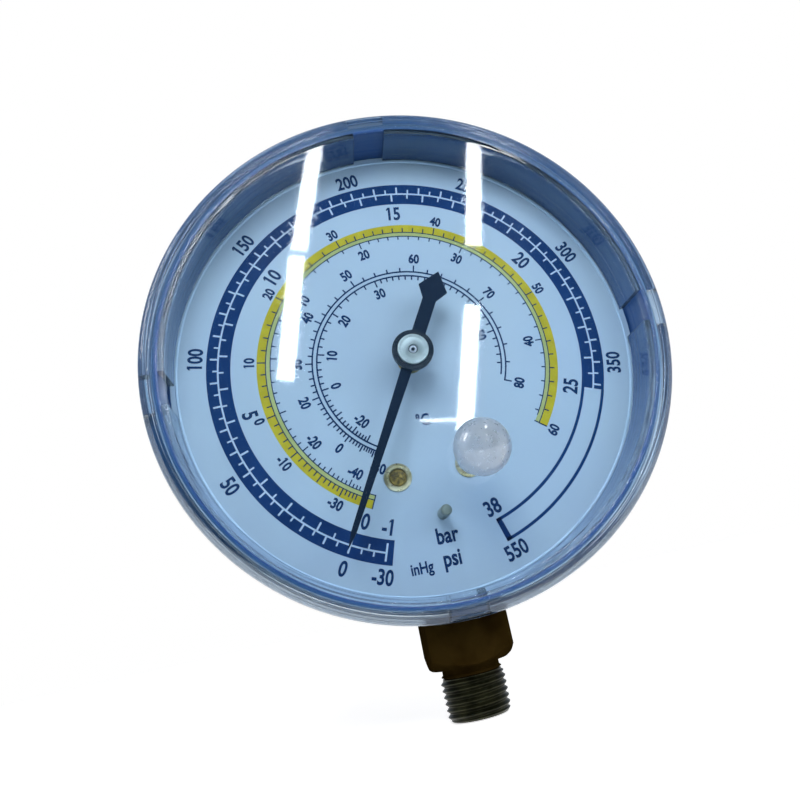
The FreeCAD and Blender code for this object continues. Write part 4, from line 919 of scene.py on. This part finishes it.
def room():
    """White to the camera; to mirrors and clear parts dark and blue towards the reader and overhead."""
    world = bpy.data.worlds.new("studio_room")
    bpy.context.scene.world = world
    world.use_nodes = True
    tree = world.node_tree
    path = node(tree, "LightPath")
    place = node(tree, "TexCoord")["Generated"]
    towards = vector_maths(tree, "DOT_PRODUCT", place, (0, -1, 0))["Value"]
    upwards = vector_maths(tree, "DOT_PRODUCT", place, (0, 0, 1))["Value"]
    reader_side = (0.30, 0.75)
    overhead = (0.0, 0.6)
    light_level = 0.3
    deep_blue = (0.16, 0.48, 1.0, 1)
    glow = mapped(tree, upwards, (0.02, 0.55), (0.02, 0.8))
    dark_end = mapped(tree, towards, reader_side, (1.0, glow), "SMOOTHSTEP")
    ceiling = mapped(tree, upwards, overhead, (1.0, 0.2), "SMOOTHSTEP")
    looked_at = maths(tree, "MAXIMUM", path["Is Glossy Ray"], path["Is Transmission Ray"])
    dim = maths(tree, "MULTIPLY", dark_end, ceiling)
    level = node(tree, "Mix", {"Factor": looked_at, "A": light_level, "B": dim})["Result"]
    strength = node(tree, "Mix", {"Factor": path["Is Camera Ray"], "A": level, "B": 1.0})["Result"]
    ahead = mapped(tree, towards, reader_side, (0.0, 1.0), "SMOOTHSTEP")
    above = mapped(tree, upwards, overhead, (0.0, 0.6))
    bluest = maths(tree, "MULTIPLY", maths(tree, "MAXIMUM", ahead, above), looked_at)
    hue = node(tree, "Mix", {"Factor": bluest, "A": (1, 1, 1, 1), "B": deep_blue}, data_type="RGBA")["Result"]
    feed(tree, tree.nodes["Background"], {"Color": hue, "Strength": strength})


def area_lamp(name, shape, wide, tall, energy, stand, unseen):
    """An area lamp on its stand, a matrix; some kinds of ray don't see it."""
    light = bpy.data.lights.new(name, "AREA")
    light.shape = shape
    light.size = wide
    light.size_y = tall
    light.energy = energy
    lamp = in_scene(name, light)
    lamp.matrix_world = stand
    for ray in unseen:
        setattr(lamp, "visible_" + ray, False)


def aimed(place, target):
    """The stand of a lamp at a place that faces a target."""
    place = Vector(place)
    turn = (Vector(target) - place).to_track_quat("-Z", "Y")
    return Matrix.Translation(place) @ turn.to_matrix().to_4x4()


def lamps():
    """A soft key, a small fill, two panes seen only in reflections, and the lens's striplights."""
    centre = (0, 0, 0.045)
    unmirrored = ("camera", "glossy", "transmission")
    area_lamp("soft_key", "DISK", 0.16, 0.16, 0.68, aimed((-0.05, -0.26, 0.24), centre), unmirrored)
    area_lamp("near_fill", "DISK", 0.08, 0.08, 0.10, aimed((0.10, -0.12, 0.09), centre), unmirrored)

    plug = (0.006, FACE, MIDDLE - 0.019)
    panes = [((-200, 45, 150), 50 * MM, 130 * MM), ((90, 90, 190), 45 * MM, 45 * MM)]
    pane_glow = 28
    for number, (place, wide, tall) in enumerate(panes):
        area_lamp("side_light_%d" % number, "RECTANGLE", wide, tall, pane_glow * wide * tall,
                  aimed(to_frame(place), plug), ("camera", "diffuse", "transmission"))

    # Each striplight runs from its upper end to its lower end, (x, up), and has a width
    strips = [((18, 288), (-8, 204), 11), ((-10, 200), (-31, 114), 11), ((132, 270), (113, 188), 11),
              ((102, 144), (77, 59), 11), ((50, 71), (74, 67), 1.6)]
    strip_glow = 75
    facing = Vector((0, -1, 0))
    hung = Vector((0, FACE - 0.4, MIDDLE))
    for number, (high, low, width) in enumerate(strips):
        run = Vector((high[0] - low[0], 0, high[1] - low[1])) * MM
        along = run.normalized()
        turn = Matrix((along.cross(facing).normalized(), along, facing)).transposed().to_4x4()
        middle = Vector((high[0] + low[0], 0, high[1] + low[1])) / 2 * MM
        area_lamp("striplight_%d" % number, "RECTANGLE", width * MM, run.length,
                  strip_glow * width * MM * run.length, Matrix.Translation(hung + middle) @ turn, ("camera",))


def camera():
    """The camera of the photograph, close in front of the gauge and a little to its lower left."""
    data = bpy.data.cameras.new("reader")
    data.lens = 36
    data.sensor_width = 36
    data.shift_x = -0.0494
    data.shift_y = -0.0676
    data.clip_start = 0.005
    eye = in_scene("reader", data)
    roll = Matrix.Rotation(math.radians(12.3), 4, "Y")
    stand = Matrix.Translation((-0.00885, -0.12793, -0.04042))
    aim = Euler((math.radians(90 + 18.66), 0, math.radians(-6.18))).to_matrix().to_4x4()
    eye.matrix_world = Matrix.Translation((0, FACE, MIDDLE)) @ roll @ stand @ aim
    bpy.context.scene.camera = eye


floor()
room()
lamps()
camera()
bpy.context.scene.view_settings.view_transform = "Standard"
